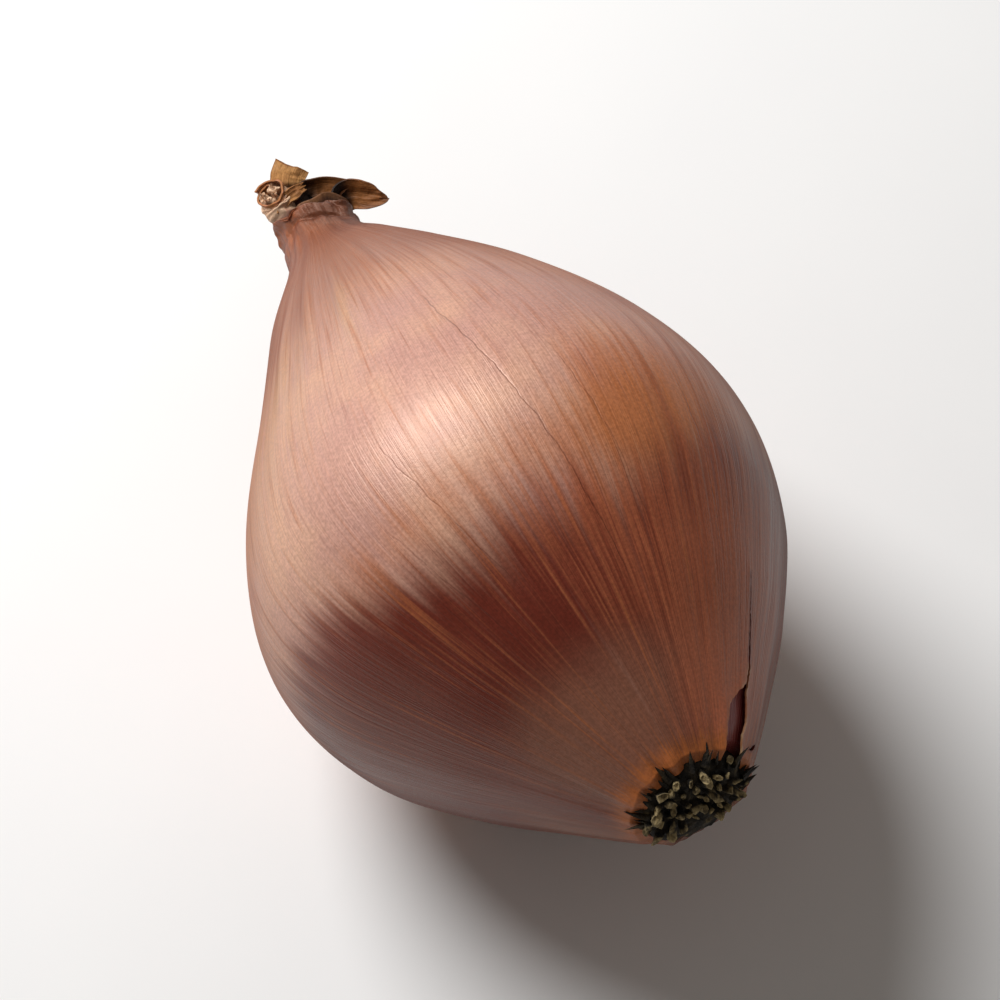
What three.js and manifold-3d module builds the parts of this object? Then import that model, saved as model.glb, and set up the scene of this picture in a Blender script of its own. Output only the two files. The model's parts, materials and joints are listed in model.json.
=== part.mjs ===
// A shallot lying on its side, at rest on a small flat spot of its flank.
// Millimetres, +Z up. The surface it lies on is z = 0 and its root end points to +X.
//
// Every piece is shaped in the bulb's own frame and placed by one turned group. In that frame
// Y runs along the bulb from the root rim (station 0) to the neck, Z points up and X sideways,
// so a turn of 0 degrees about Y is the top of the bulb and 90 degrees is its +X side.

import * as THREE from "three";
import { mergeVertices } from "three/addons/utils/BufferGeometryUtils.js";
import Module from "manifold-3d";

const wasm = await Module();
wasm.setup();

// ---- Driving dimensions ----

const ROOT_LIFT_DEG = 14; // the root end is higher than the neck by this angle
const ROOT_RIM_AT = new THREE.Vector3(34.665, 0.231, 26.26); // middle of the skin's root opening
const SKIN_WALL = 0.5; // dry papery skin, with the air under it
const GAP = 0.3; // clearance between neighbouring pieces
const AROUND = 48; // facets round the bulb
const ALONG = 24; // facets from root to neck

// Radius of the bulb against its station.
const OUTLINE = new THREE.SplineCurve(
  [
    [4.82, 0],
    [7.04, 2.5],
    [10.42, 6.5],
    [14.91, 12],
    [19.24, 19],
    [20.85, 27],
    [18.8, 36],
    [14.05, 46],
    [9.32, 54],
    [4.8, 61],
    [3.55, 64.5],
    [3.6, 66.2],
  ].map(([radius, station]) => new THREE.Vector2(radius, station)),
);

// Sideways sway of the bulb's middle line, at even steps from the root rim to LEAN_LENGTH.
const LEAN = [0.96, -0.28, 0.68, 0.55];
const LEAN_LENGTH = 70;

const MOUTH_LIP = 1; // the skin's two openings are cut this far past its ends
const FLESH_FROM = 1; // the fleshy bulb lies under the outline from this station
const FLESH_TO = 62.6; // to this one, inside the neck

const PLATE_RADIUS = 4.05;
const PLATE_BACK = 1.2; // station of the plate's inner face, just short of the flesh
const PLATE_EDGE = -0.35; // station of its outer edge
const PLATE_CROWN = -0.8; // station of the ring where most roots grew
const PLATE_DIMPLE = -0.5; // station of its sunken middle

const STUB_RADIUS = 0.46; // clipped root
const STUB_LENGTH = 1;
const STUB_BURIED = 0.35; // how deep a stub's foot is set in the plate
const STUB_RINGS = [
  { radius: 1.0, count: 5, splayDeg: 8 },
  { radius: 2.4, count: 12, splayDeg: 26 },
  { radius: 3.65, count: 19, splayDeg: 50 },
];

const LEAF_THICKNESS = 0.34;
const TUFT_TURN_DEG = -14.6; // turn of the leaf ends about the bulb's axis

const COLOURS = {
  skin: 0xa5694a,
  flesh: 0x6b2434,
  plate: 0x6d5f42,
  rolled: 0xc59a78,
  tan: 0xc08b56,
  brown: 0x7a4b24,
};

// ---- Solids and geometry ----

const radians = THREE.MathUtils.degToRad;

/** Turns a closed three.js geometry into a solid that can be joined and cut. */
function solidFrom(geometry) {
  const bare = geometry.index ? geometry.toNonIndexed() : geometry.clone();
  bare.deleteAttribute("normal");
  bare.deleteAttribute("uv");
  const merged = mergeVertices(bare);
  return new wasm.Manifold(
    new wasm.Mesh({
      numProp: 3,
      vertProperties: merged.attributes.position.array,
      triVerts: new Uint32Array(merged.index.array),
    }),
  );
}

/** Turns a solid back into a three.js geometry. */
function geometryFrom(solid) {
  const { vertProperties, triVerts } = solid.getMesh();
  const geometry = new THREE.BufferGeometry();
  geometry.setAttribute("position", new THREE.BufferAttribute(vertProperties, 3));
  geometry.setIndex(new THREE.BufferAttribute(triVerts, 1));
  geometry.computeVertexNormals();
  return geometry;
}

/** One named piece with its own material. */
function piece(name, geometry, color, roughness) {
  const material = new THREE.MeshStandardMaterial({ color, roughness, metalness: 0 });
  const mesh = new THREE.Mesh(geometry, material);
  mesh.name = name;
  return mesh;
}

// ---- The bulb's form ----

const LEAN_CURVE = new THREE.SplineCurve(LEAN.map((sway, i) => new THREE.Vector2(i, sway)));

/** Sideways place of the bulb's middle line at a station. */
function leanAt(station) {
  return LEAN_CURVE.getPoint(THREE.MathUtils.clamp(station / LEAN_LENGTH, 0, 1)).y;
}

/** How far along the outline's curve, from 0 to 1, a station is. Found by halving. */
function curvePlace(station) {
  let low = 0;
  let high = 1;
  for (let halving = 0; halving < 24; halving += 1) {
    const middle = (low + high) / 2;
    if (OUTLINE.getPoint(middle).y < station) low = middle;
    else high = middle;
  }
  return high;
}

/** The outline moved inwards by a depth, between two stations of the outline. */
function insetOutline(depth, first = 0, last = Infinity) {
  const [from, to] = [curvePlace(first), curvePlace(last)];
  return Array.from({ length: ALONG + 1 }, (_, i) => {
    const t = THREE.MathUtils.lerp(from, to, i / ALONG);
    const on = OUTLINE.getPoint(t);
    const direction = OUTLINE.getTangent(t);
    return new THREE.Vector2(on.x - depth * direction.y, on.y + depth * direction.x);
  });
}

/** A leaning solid of revolution. The profile runs from the axis to the axis, root end first. */
function revolve(profile) {
  const geometry = new THREE.LatheGeometry(profile, AROUND);
  const position = geometry.attributes.position;
  for (let i = 0; i < position.count; i += 1) {
    position.setX(i, position.getX(i) + leanAt(position.getY(i)));
  }
  return solidFrom(geometry);
}

/** Closes an outline to the axis with a flat face at each end, carried on past them by a lip. */
function closeToAxis(points, lip = 0) {
  const first = points[0];
  const last = points[points.length - 1];
  const lipped = lip
    ? [new THREE.Vector2(first.x, first.y - lip), ...points, new THREE.Vector2(last.x, last.y + lip)]
    : points;
  return [
    new THREE.Vector2(0, first.y - lip),
    ...lipped,
    new THREE.Vector2(0, last.y + lip),
  ];
}

/** Frame on the skin: X round the bulb, Y along it towards the neck, Z straight out. */
function skinFrame(station, turnDeg) {
  const turn = radians(turnDeg);
  const radius = OUTLINE.getPoint(curvePlace(station)).x;
  const direction = OUTLINE.getTangent(curvePlace(station));
  const outwards = new THREE.Vector3(Math.sin(turn), 0, Math.cos(turn));
  const round = new THREE.Vector3(Math.cos(turn), 0, -Math.sin(turn));
  const along = outwards.clone().multiplyScalar(direction.x);
  along.y = direction.y;
  const place = outwards.multiplyScalar(radius);
  place.x += leanAt(station);
  place.y = station;
  const normal = new THREE.Vector3().crossVectors(round, along);
  return new THREE.Matrix4().makeBasis(round, along, normal).setPosition(place);
}

// ---- Where the bulb lies ----

/** From the bulb's own frame to the part's frame. */
const PLACEMENT = new THREE.Matrix4()
  .makeBasis(
    new THREE.Vector3(0, 1, 0),
    new THREE.Vector3(-Math.cos(radians(ROOT_LIFT_DEG)), 0, -Math.sin(radians(ROOT_LIFT_DEG))),
    new THREE.Vector3(-Math.sin(radians(ROOT_LIFT_DEG)), 0, Math.cos(radians(ROOT_LIFT_DEG))),
  )
  .setPosition(ROOT_RIM_AT);

/** Everything lower than a height above the surface, in the bulb's own frame. */
function lowerThan(height) {
  const size = 200;
  const block = new THREE.BoxGeometry(size, size, size).translate(0, 0, height - size / 2);
  return solidFrom(block.applyMatrix4(PLACEMENT.clone().invert()));
}

// ---- Skin ----

// The tear: a wide gap that starts at the root rim and runs out into a hairline slit.
// Points are [round, along] from its middle, up the near edge and back down the far one.
const TEAR = {
  station: 2.5,
  turnDeg: 53.5,
  outline: [
    [-1.1, -4.4],
    [-1.15, -1.8],
    [-1.05, 0],
    [-0.25, 1.1],
    [0.6, 1.9],
    [0.9, 3.1],
    [0.76, 6.5],
    [0.58, 10.4],
    [0.95, 6.5],
    [1.15, 3.1],
    [0.9, 1.9],
    [0.75, 1.1],
    [0.98, 0],
    [1.1, -0.9],
    [0.6, -1.9],
    [0.7, -4.4],
  ],
};
const NICK = { station: 0.95, turnDeg: 80, halfLength: 0.6, halfWidth: 0.17, slantDeg: 45 };
const CUT_DEPTH = 3; // reach of a cutter above and below the skin

/** A prism that cuts a flat shape straight through the skin. */
function skinCutter(shape, { station, turnDeg }) {
  const prism = new THREE.ExtrudeGeometry(shape, { depth: 2 * CUT_DEPTH, bevelEnabled: false });
  prism.translate(0, 0, -CUT_DEPTH);
  return solidFrom(prism.applyMatrix4(skinFrame(station, turnDeg)));
}

/** Outer papery skin, open at the root plate and at the neck, with a tear and a nick. */
function makeOuterSkin() {
  const outside = revolve(closeToAxis(insetOutline(0)));
  const inside = revolve(closeToAxis(insetOutline(SKIN_WALL), MOUTH_LIP));
  const body = outside.subtract(lowerThan(0));
  const cavity = inside.subtract(lowerThan(SKIN_WALL));
  const tear = new THREE.Shape(TEAR.outline.map(([x, y]) => new THREE.Vector2(x, y)));
  const nick = new THREE.Shape().absellipse(
    0,
    0,
    NICK.halfLength,
    NICK.halfWidth,
    0,
    2 * Math.PI,
    false,
    radians(NICK.slantDeg),
  );
  const skin = body
    .subtract(cavity)
    .subtract(skinCutter(tear, TEAR))
    .subtract(skinCutter(nick, NICK));
  return piece("outer_skin", geometryFrom(skin), COLOURS.skin, 0.42);
}

// ---- Fleshy bulb ----

/** The bulb inside, in the glossy skin that shows through the tear. */
function makeBulb() {
  const inset = SKIN_WALL + GAP;
  const profile = closeToAxis(insetOutline(inset, FLESH_FROM, FLESH_TO));
  const flesh = revolve(profile).subtract(lowerThan(inset));
  return piece("bulb", geometryFrom(flesh), COLOURS.flesh, 0.3);
}

// ---- Root plate ----

/** One clipped root, standing on the plate at a ring's radius and leaning outwards. */
function rootStub(ring, turn) {
  const stub = new THREE.CylinderGeometry(STUB_RADIUS * 0.85, STUB_RADIUS, STUB_LENGTH, 6);
  stub.translate(0, STUB_LENGTH / 2 - STUB_BURIED, 0);
  stub.rotateX(Math.PI - radians(ring.splayDeg));
  stub.translate(0, PLATE_CROWN + 0.2, ring.radius);
  stub.rotateY(turn);
  return solidFrom(stub.translate(leanAt(0), 0, 0));
}

/** Flat stem plate that closes the root end, with the stubs of its clipped roots. */
function makeRootPlate() {
  const profile = [
    [0, PLATE_DIMPLE],
    [1.4, PLATE_CROWN],
    [3.1, PLATE_CROWN],
    [PLATE_RADIUS, PLATE_EDGE],
    [PLATE_RADIUS, PLATE_BACK],
    [0, PLATE_BACK],
  ].map(([radius, station]) => new THREE.Vector2(radius, station));
  let plate = revolve(profile);
  for (const ring of STUB_RINGS) {
    for (let i = 0; i < ring.count; i += 1) {
      plate = plate.add(rootStub(ring, (2 * Math.PI * (i + ring.radius / 2)) / ring.count));
    }
  }
  return piece("root_plate", geometryFrom(plate), COLOURS.plate, 0.9);
}

// ---- Dry leaf ends at the neck ----

// In the tuft's frame Y is the bulb's axis, Z faces up and out over the root end, X sideways.
// Each leaf end follows a path out of the neck. `across` is the way its blade spreads at the
// path's start and end, and `wrapDeg` the arc that the blade curls through there. A scroll
// curls round its path, wider towards one edge by `growth`; any other leaf lies along it.
const LEAF_ENDS = [
  {
    name: "neck_roll",
    color: COLOURS.rolled,
    path: [
      [-1, 63.4, 0.5],
      [-1.2, 66.4, 0.5],
      [-1.4, 68.6, 0.6],
      [-1.5, 69.8, 1.4],
      [-1.6, 70, 2.9],
    ],
    across: [
      [1, 0, 0.2],
      [1, 0.3, 0.2],
    ],
    halfWidths: [1, 1.8, 3, 4.6, 5.4],
    wrapDeg: [200, 500],
    growth: 0.35,
    steps: [14, 26],
  },
  {
    name: "neck_flap_tan",
    color: COLOURS.tan,
    path: [
      [0, 63.4, -1.5],
      [0, 66.5, -1.6],
      [0, 69.2, -1],
      [0.3, 71.4, 0.4],
      [1, 72.6, 1.7],
    ],
    across: [
      [1, 0, 0.1],
      [0.55, -0.66, -0.52],
    ],
    halfWidths: [0.8, 1, 1.2, 1.4, 1.45],
    wrapDeg: [60, 30],
    growth: 0,
    steps: [12, 6],
  },
  {
    name: "neck_flap_long",
    color: COLOURS.brown,
    path: [
      [2.1, 63.4, -0.6],
      [2.3, 66.4, -0.8],
      [3, 69, -1.2],
      [4.4, 69.1, -1.2],
      [5.5, 67.8, -1.5],
      [7, 66.6, -2.3],
    ],
    across: [
      [-0.3, 0.1, 1],
      [0.54, 0.67, 0.51],
    ],
    halfWidths: [0.8, 1, 1.1, 1.05, 1.15, 0.3],
    wrapDeg: [60, 60],
    growth: 0,
    steps: [18, 6],
  },
];

/** A value read off a list of numbers spread evenly from 0 to 1, on a smooth curve. */
function along(values, t) {
  return new THREE.SplineCurve(values.map((value, i) => new THREE.Vector2(i, value))).getPoint(t).y;
}

/** A dry leaf end: a thin strip bent along its path and curled across it. */
function makeLeafEnd({ name, color, path, across, halfWidths, wrapDeg, growth, steps }) {
  const curve = new THREE.CatmullRomCurve3(path.map((point) => new THREE.Vector3(...point)));
  const [from, to] = across.map((way) => new THREE.Vector3(...way).normalize());
  const strip = new THREE.BoxGeometry(2, 1, LEAF_THICKNESS, steps[1], steps[0], 1);
  const position = strip.attributes.position;
  for (let i = 0; i < position.count; i += 1) {
    const edge = position.getX(i); // -1 at one edge of the blade, 1 at the other
    const t = position.getY(i) + 0.5; // 0 in the neck, 1 at the tip
    const forward = curve.getTangent(t);
    const spread = from.clone().lerp(to, t);
    spread.addScaledVector(forward, -spread.dot(forward)).normalize();
    const face = new THREE.Vector3().crossVectors(spread, forward);
    const wrap = radians(THREE.MathUtils.lerp(wrapDeg[0], wrapDeg[1], t));
    const radius = (2 * along(halfWidths, t)) / wrap;
    const angle = (edge * wrap) / 2;
    const shell = radius * (1 + growth * edge) + position.getZ(i);
    const point = curve.getPoint(t);
    point.addScaledVector(spread, shell * Math.sin(angle));
    point.addScaledVector(face, shell * Math.cos(angle) - (growth > 0 ? 0 : radius));
    position.setXYZ(i, point.x, point.y, point.z);
  }
  return piece(name, geometryFrom(solidFrom(strip)), color, 0.7);
}

// ---- The shallot ----

const tuft = new THREE.Group();
tuft.rotation.y = radians(TUFT_TURN_DEG);
tuft.add(...LEAF_ENDS.map(makeLeafEnd));

const shallot = new THREE.Group();
shallot.add(makeOuterSkin(), makeBulb(), makeRootPlate(), tuft);
shallot.applyMatrix4(PLACEMENT);

const root = new THREE.Group();
root.add(shallot);

export default root;
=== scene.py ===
"""Looks of a shallot lying on its side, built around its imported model.

Sizes in the classes are millimetres in the bulb's own frame, and become metres in the part's frame when
a mesh is made. In the bulb's frame Y runs along the bulb from the root rim (station 0) to the neck, Z is
its upper side and X is sideways. A turn of 0 degrees about Y is the top, and 90 degrees the +X side.
"""

from __future__ import annotations

import json
import logging
import math
from dataclasses import dataclass
from enum import Enum
from functools import partial

import bpy
import numpy as np
from mathutils import Matrix, Vector

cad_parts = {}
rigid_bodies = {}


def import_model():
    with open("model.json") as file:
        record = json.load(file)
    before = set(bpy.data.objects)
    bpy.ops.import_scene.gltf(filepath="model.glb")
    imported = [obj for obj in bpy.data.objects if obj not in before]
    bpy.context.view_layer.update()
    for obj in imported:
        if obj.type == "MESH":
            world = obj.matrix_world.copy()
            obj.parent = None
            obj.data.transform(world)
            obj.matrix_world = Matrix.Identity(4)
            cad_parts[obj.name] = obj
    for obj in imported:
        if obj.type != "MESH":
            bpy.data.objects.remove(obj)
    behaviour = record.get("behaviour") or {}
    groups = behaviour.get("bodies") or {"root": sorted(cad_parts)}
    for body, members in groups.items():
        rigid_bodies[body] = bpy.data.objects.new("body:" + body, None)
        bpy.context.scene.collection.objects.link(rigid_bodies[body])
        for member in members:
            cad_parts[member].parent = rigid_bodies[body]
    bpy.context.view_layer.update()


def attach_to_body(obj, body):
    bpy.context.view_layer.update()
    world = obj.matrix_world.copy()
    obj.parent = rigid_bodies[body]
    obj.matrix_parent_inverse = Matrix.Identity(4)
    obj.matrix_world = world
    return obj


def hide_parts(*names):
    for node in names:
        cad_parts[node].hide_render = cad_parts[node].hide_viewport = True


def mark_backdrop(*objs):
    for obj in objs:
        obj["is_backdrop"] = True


log = logging.getLogger("shallot")

MM = 0.001
BODY = "root"

Array = np.ndarray
Colour = tuple[float, float, float]
Socket = bpy.types.NodeSocket
Tree = bpy.types.NodeTree
Node = bpy.types.Node


class Slot(Enum):
    """Material slots of the record."""

    SKIN = "papery_skin"
    FLESH = "glossy_flesh"
    CORK = "root_cork"
    CURL = "curled_leaf"
    TAN = "tan_leaf"
    BROWN = "brown_leaf"


# ---- Shapes in numbers ----


def fade(value: Array | float, low: float, high: float) -> Array:
    """Smooth step from 0 at low to 1 at high; low may be above high."""
    x = np.clip((np.asarray(value, float) - low) / (high - low), 0, 1)
    return x * x * (3 - 2 * x)


def soft_noise(x: Array, y: Array, seed: int, wrap: int = 128) -> Array:
    """Smooth noise over a lattice of unit cells.

    Args:
        x: Places across, which repeat after wrap cells.
        y: Places along, of the same shape.
        seed: Picks the lattice.
        wrap: Cells in one round, at most 128.

    Returns:
        Values from -1 to 1.
    """
    table = np.random.default_rng(seed).uniform(-1, 1, (128, 128))
    x0, y0 = np.floor(x).astype(int), np.floor(y).astype(int)
    fx, fy = fade(x - x0, 0, 1), fade(y - y0, 0, 1)
    left, right = x0 % wrap, (x0 + 1) % wrap
    low, high = y0 % 128, (y0 + 1) % 128
    near = table[left, low] * (1 - fx) + table[right, low] * fx
    far = table[left, high] * (1 - fx) + table[right, high] * fx
    return near * (1 - fy) + far * fy


def spline(points: Array, t: Array | float) -> Array:
    """Smooth curve through points that are spread evenly from t = 0 to t = 1.

    Args:
        points: The points, first to last.
        t: Places on the curve.

    Returns:
        The points of the curve there.
    """
    points = np.asarray(points, float)
    place = np.clip(np.asarray(t, float), 0, 1) * (len(points) - 1)
    i = np.minimum(place.astype(int), len(points) - 2)
    w = (place - i)[..., None]
    p0, p1, p2 = points[np.maximum(i - 1, 0)], points[i], points[i + 1]
    p3 = points[np.minimum(i + 2, len(points) - 1)]
    v0, v1 = (p2 - p0) / 2, (p3 - p1) / 2
    return ((2 * p1 - 2 * p2 + v0 + v1) * w + (3 * p2 - 3 * p1 - 2 * v0 - v1)) * w * w + v0 * w + p1


def spread_values(values: tuple[float, ...], t: Array) -> Array:
    """Values spread evenly from t = 0 to t = 1, joined smoothly."""
    return spline(np.asarray(values, float)[:, None], t)[..., 0]


def leaf_path(points: Array, t: Array) -> Array:
    """Smooth path through points, with bends held close to them.

    Args:
        points: The points, first to last.
        t: Places from 0 to 1, as many segments as there are gaps.

    Returns:
        The places on the path.
    """
    points = np.asarray(points, float)
    ends = np.vstack([2 * points[0] - points[1], points, 2 * points[-1] - points[-2]])
    place = np.clip(t, 0, 1) * (len(points) - 1)
    i = np.minimum(place.astype(int), len(points) - 2)
    w = (place - i)[..., None]
    p0, p1, p2, p3 = (ends[i + k] for k in range(4))
    pairs = ((p0, p1), (p1, p2), (p2, p3))
    d0, d1, d2 = (np.sqrt(np.linalg.norm(b - a, axis=-1))[..., None] for a, b in pairs)
    v0 = ((p1 - p0) / d0 - (p2 - p0) / (d0 + d1) + (p2 - p1) / d1) * d1
    v1 = ((p2 - p1) / d1 - (p3 - p1) / (d1 + d2) + (p3 - p2) / d2) * d1
    return ((2 * p1 - 2 * p2 + v0 + v1) * w + (3 * p2 - 3 * p1 - 2 * v0 - v1)) * w * w + v0 * w + p1


def unit(vectors: Array) -> Array:
    """Vectors scaled to length 1."""
    return vectors / np.maximum(np.linalg.norm(vectors, axis=-1, keepdims=True), 1e-12)


def grid_normals(grid: Array, closed: bool) -> Array:
    """Unit normals of a grid of points, columns first.

    Args:
        grid: Points of shape (rows, columns, 3).
        closed: True if the last column meets the first.

    Returns:
        Row direction crossed with column direction, per point.
    """
    down = np.gradient(grid, axis=0)
    if closed:
        across = np.roll(grid, -1, axis=1) - np.roll(grid, 1, axis=1)
    else:
        across = np.gradient(grid, axis=1)
    return unit(np.cross(down, across))


def grid_faces(rows: int, columns: int, first: int, closed: bool, turned: bool) -> Array:
    """Four-sided faces of a grid of vertices.

    Args:
        rows: Rows of vertices.
        columns: Columns of vertices.
        first: Number of the grid's first vertex.
        closed: True if the last column meets the first.
        turned: True to turn the faces over.

    Returns:
        Vertex numbers of shape (faces, 4).
    """
    i, j = np.meshgrid(np.arange(rows - 1), np.arange(columns if closed else columns - 1), indexing="ij")
    k = (j + 1) % columns
    faces = np.stack([i * columns + j, i * columns + k, (i + 1) * columns + k, (i + 1) * columns + j], -1)
    faces = faces.reshape(-1, 4) + first
    return faces[:, ::-1] if turned else faces


def outward(grid: Array, normals: Array) -> float:
    """1 if a closed grid's normals point away from its axis, else -1."""
    middle = grid.shape[0] // 3
    centre = grid[middle].mean(axis=0)
    return float(np.sign(np.sum((grid[middle] - centre) * normals[middle])))


def bridge(first: Array, second: Array, closed: bool) -> Array:
    """Four-sided faces between two lines of vertices of the same length."""
    if closed:
        first, second = np.append(first, first[0]), np.append(second, second[0])
    return np.stack([first[:-1], first[1:], second[1:], second[:-1]], -1)


@dataclass(frozen=True)
class Patch:
    """A soft-edged area of the skin."""

    station: float
    turn: float
    half_station: float
    half_turn: float
    amount: float = 1.0

    def weight(self, station: Array, turn: Array) -> Array:
        """Strength of the patch at stations and turns."""
        aside = (turn - self.turn + 180) % 360 - 180
        reach = ((station - self.station) / self.half_station) ** 2 + (aside / self.half_turn) ** 2
        return self.amount * np.exp(-reach)


@dataclass(frozen=True)
class BulbForm:
    """The bulb's plain form and its place in the part's frame."""

    outline: tuple[tuple[float, float], ...] = (
        (4.82, 0),
        (7.04, 2.5),
        (10.42, 6.5),
        (14.91, 12),
        (19.24, 19),
        (20.85, 27),
        (18.8, 36),
        (14.05, 46),
        (9.32, 54),
        (4.8, 61),
        (3.55, 64.5),
        (3.6, 66.2),
    )
    lean: tuple[float, ...] = (0.96, -0.28, 0.68, 0.55)
    lean_length: float = 70
    root_rim: tuple[float, float, float] = (34.665, 0.231, 26.26)
    root_lift_deg: float = 14
    tuft_turn_deg: float = -14.6

    @property
    def axes(self) -> Array:
        """The bulb's X, Y and Z directions in the part's frame, one a row."""
        c, s = math.cos(math.radians(self.root_lift_deg)), math.sin(math.radians(self.root_lift_deg))
        return np.array([[0, 1, 0], [-c, 0, -s], [-s, 0, c]])

    def to_part(self, points: Array) -> Array:
        """Millimetres in the bulb's frame to metres in the part's frame."""
        return (np.asarray(self.root_rim) + np.asarray(points, float) @ self.axes) * MM

    def to_bulb(self, points: Array) -> Array:
        """Metres in the part's frame to millimetres in the bulb's frame."""
        return (np.asarray(points, float) / MM - np.asarray(self.root_rim)) @ self.axes.T

    def tuft_to_bulb(self, points: Array) -> Array:
        """From the tuft's frame, which is turned about the bulb's axis, to the bulb's."""
        c, s = math.cos(math.radians(self.tuft_turn_deg)), math.sin(math.radians(self.tuft_turn_deg))
        x, y, z = np.moveaxis(np.asarray(points, float), -1, 0)
        return np.stack([x * c + z * s, y, -x * s + z * c], -1)

    def lean_at(self, station: Array | float) -> Array:
        """Sideways place of the bulb's middle line."""
        return spread_values(self.lean, np.clip(np.asarray(station, float) / self.lean_length, 0, 1))

    def profile(self, t: Array) -> tuple[Array, Array, Array]:
        """The outline at places from 0 to 1.

        Args:
            t: Places along the outline.

        Returns:
            Radius, station, and the outward direction in (radius, station).
        """
        points = spline(self.outline, t)
        step = spline(self.outline, t + 1e-3) - spline(self.outline, t - 1e-3)
        step = unit(step)
        return points[..., 0], points[..., 1], np.stack([step[..., 1], -step[..., 0]], -1)

    def at_station(self, station: Array | float) -> tuple[Array, Array]:
        """Radius and outward direction at stations."""
        t = np.linspace(0, 1, 2000)
        radius, stations, out = self.profile(t)
        place = np.interp(station, stations, t)
        r, _, o = self.profile(place)
        return r, o

    def ring(self, radius: Array, station: Array, turn_deg: Array) -> Array:
        """Points in the bulb's frame at radii, stations and turns."""
        turn = np.radians(turn_deg)
        return np.stack(
            [radius * np.sin(turn) + self.lean_at(station), station + 0 * turn, radius * np.cos(turn)], -1
        )

    def station_and_turn(self, points: Array) -> tuple[Array, Array]:
        """Station, and turn in degrees, of points in the bulb's frame."""
        x, y, z = np.moveaxis(points, -1, 0)
        return y, np.degrees(np.arctan2(x - self.lean_at(y), z))

    def skin_frame(self, station: float, turn_deg: float) -> tuple[Array, Array]:
        """Frame on the skin.

        Args:
            station: Station of the frame's origin.
            turn_deg: Turn of the frame's origin.

        Returns:
            Origin, and the directions round, along towards the neck, and out, one a row.
        """
        radius, out = self.at_station(station)
        turn = math.radians(turn_deg)
        outwards = np.array([math.sin(turn), 0, math.cos(turn)])
        around = np.array([math.cos(turn), 0, -math.sin(turn)])
        along = outwards * -out[1] + np.array([0, out[0], 0])
        origin = self.ring(radius, np.asarray(float(station)), np.asarray(float(turn_deg)))
        return origin, np.stack([around, along, np.cross(around, along)])


# ---- Objects ----


def make_object(name: str, points: Array, faces: Array | list, collection: bool = True) -> bpy.types.Object:
    """Makes a mesh object.

    Args:
        name: Name of the object and its mesh.
        points: Vertices in metres.
        faces: Vertex numbers of each face.
        collection: False to leave the object out of the scene.

    Returns:
        The object, smooth shaded.
    """
    mesh = bpy.data.meshes.new(name)
    mesh.from_pydata(np.asarray(points).reshape(-1, 3).tolist(), [], [list(map(int, f)) for f in faces])
    mesh.shade_smooth()
    made = bpy.data.objects.new(name, mesh)
    if collection:
        bpy.context.scene.collection.objects.link(made)
    return made


def add_attribute(mesh: bpy.types.Mesh, name: str, values: Array) -> None:
    """Stores one number or one vector per vertex."""
    values = np.asarray(values, np.float32)
    kind, key = ("FLOAT", "value") if values.ndim == 1 else ("FLOAT_VECTOR", "vector")
    attribute = mesh.attributes.new(name, kind, "POINT")
    attribute.data.foreach_set(key, values.ravel())


def vertices_of(mesh: bpy.types.Mesh) -> Array:
    """The vertices of a mesh."""
    points = np.empty(len(mesh.vertices) * 3, np.float32)
    mesh.vertices.foreach_get("co", points)
    return points.reshape(-1, 3).astype(float)


def finish_modifiers(made: bpy.types.Object) -> bpy.types.Object:
    """Turns an object with modifiers into a plain mesh object."""
    depsgraph = bpy.context.evaluated_depsgraph_get()
    evaluated = made.evaluated_get(depsgraph)
    mesh = bpy.data.meshes.new_from_object(evaluated, preserve_all_data_layers=True, depsgraph=depsgraph)
    made.modifiers.clear()
    made.data = mesh
    mesh.name = made.name
    return made


def remove_objects(*objects: bpy.types.Object) -> None:
    """Removes objects that only helped to make others."""
    for helper in objects:
        bpy.data.objects.remove(helper)


def attach(piece: bpy.types.Object, slot: Slot, *nodes: str) -> bpy.types.Object:
    """Ties a finished piece to the part.

    Args:
        piece: The finished piece.
        slot: The record's slot that its finish comes from.
        nodes: CAD nodes that it stands for.

    Returns:
        The piece.
    """
    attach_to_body(piece, BODY)
    if nodes:
        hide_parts(*nodes)
    log.info("%s: %d faces, slot %s", piece.name, len(piece.data.polygons), slot.value)
    return piece


# ---- Node trees ----


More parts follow.
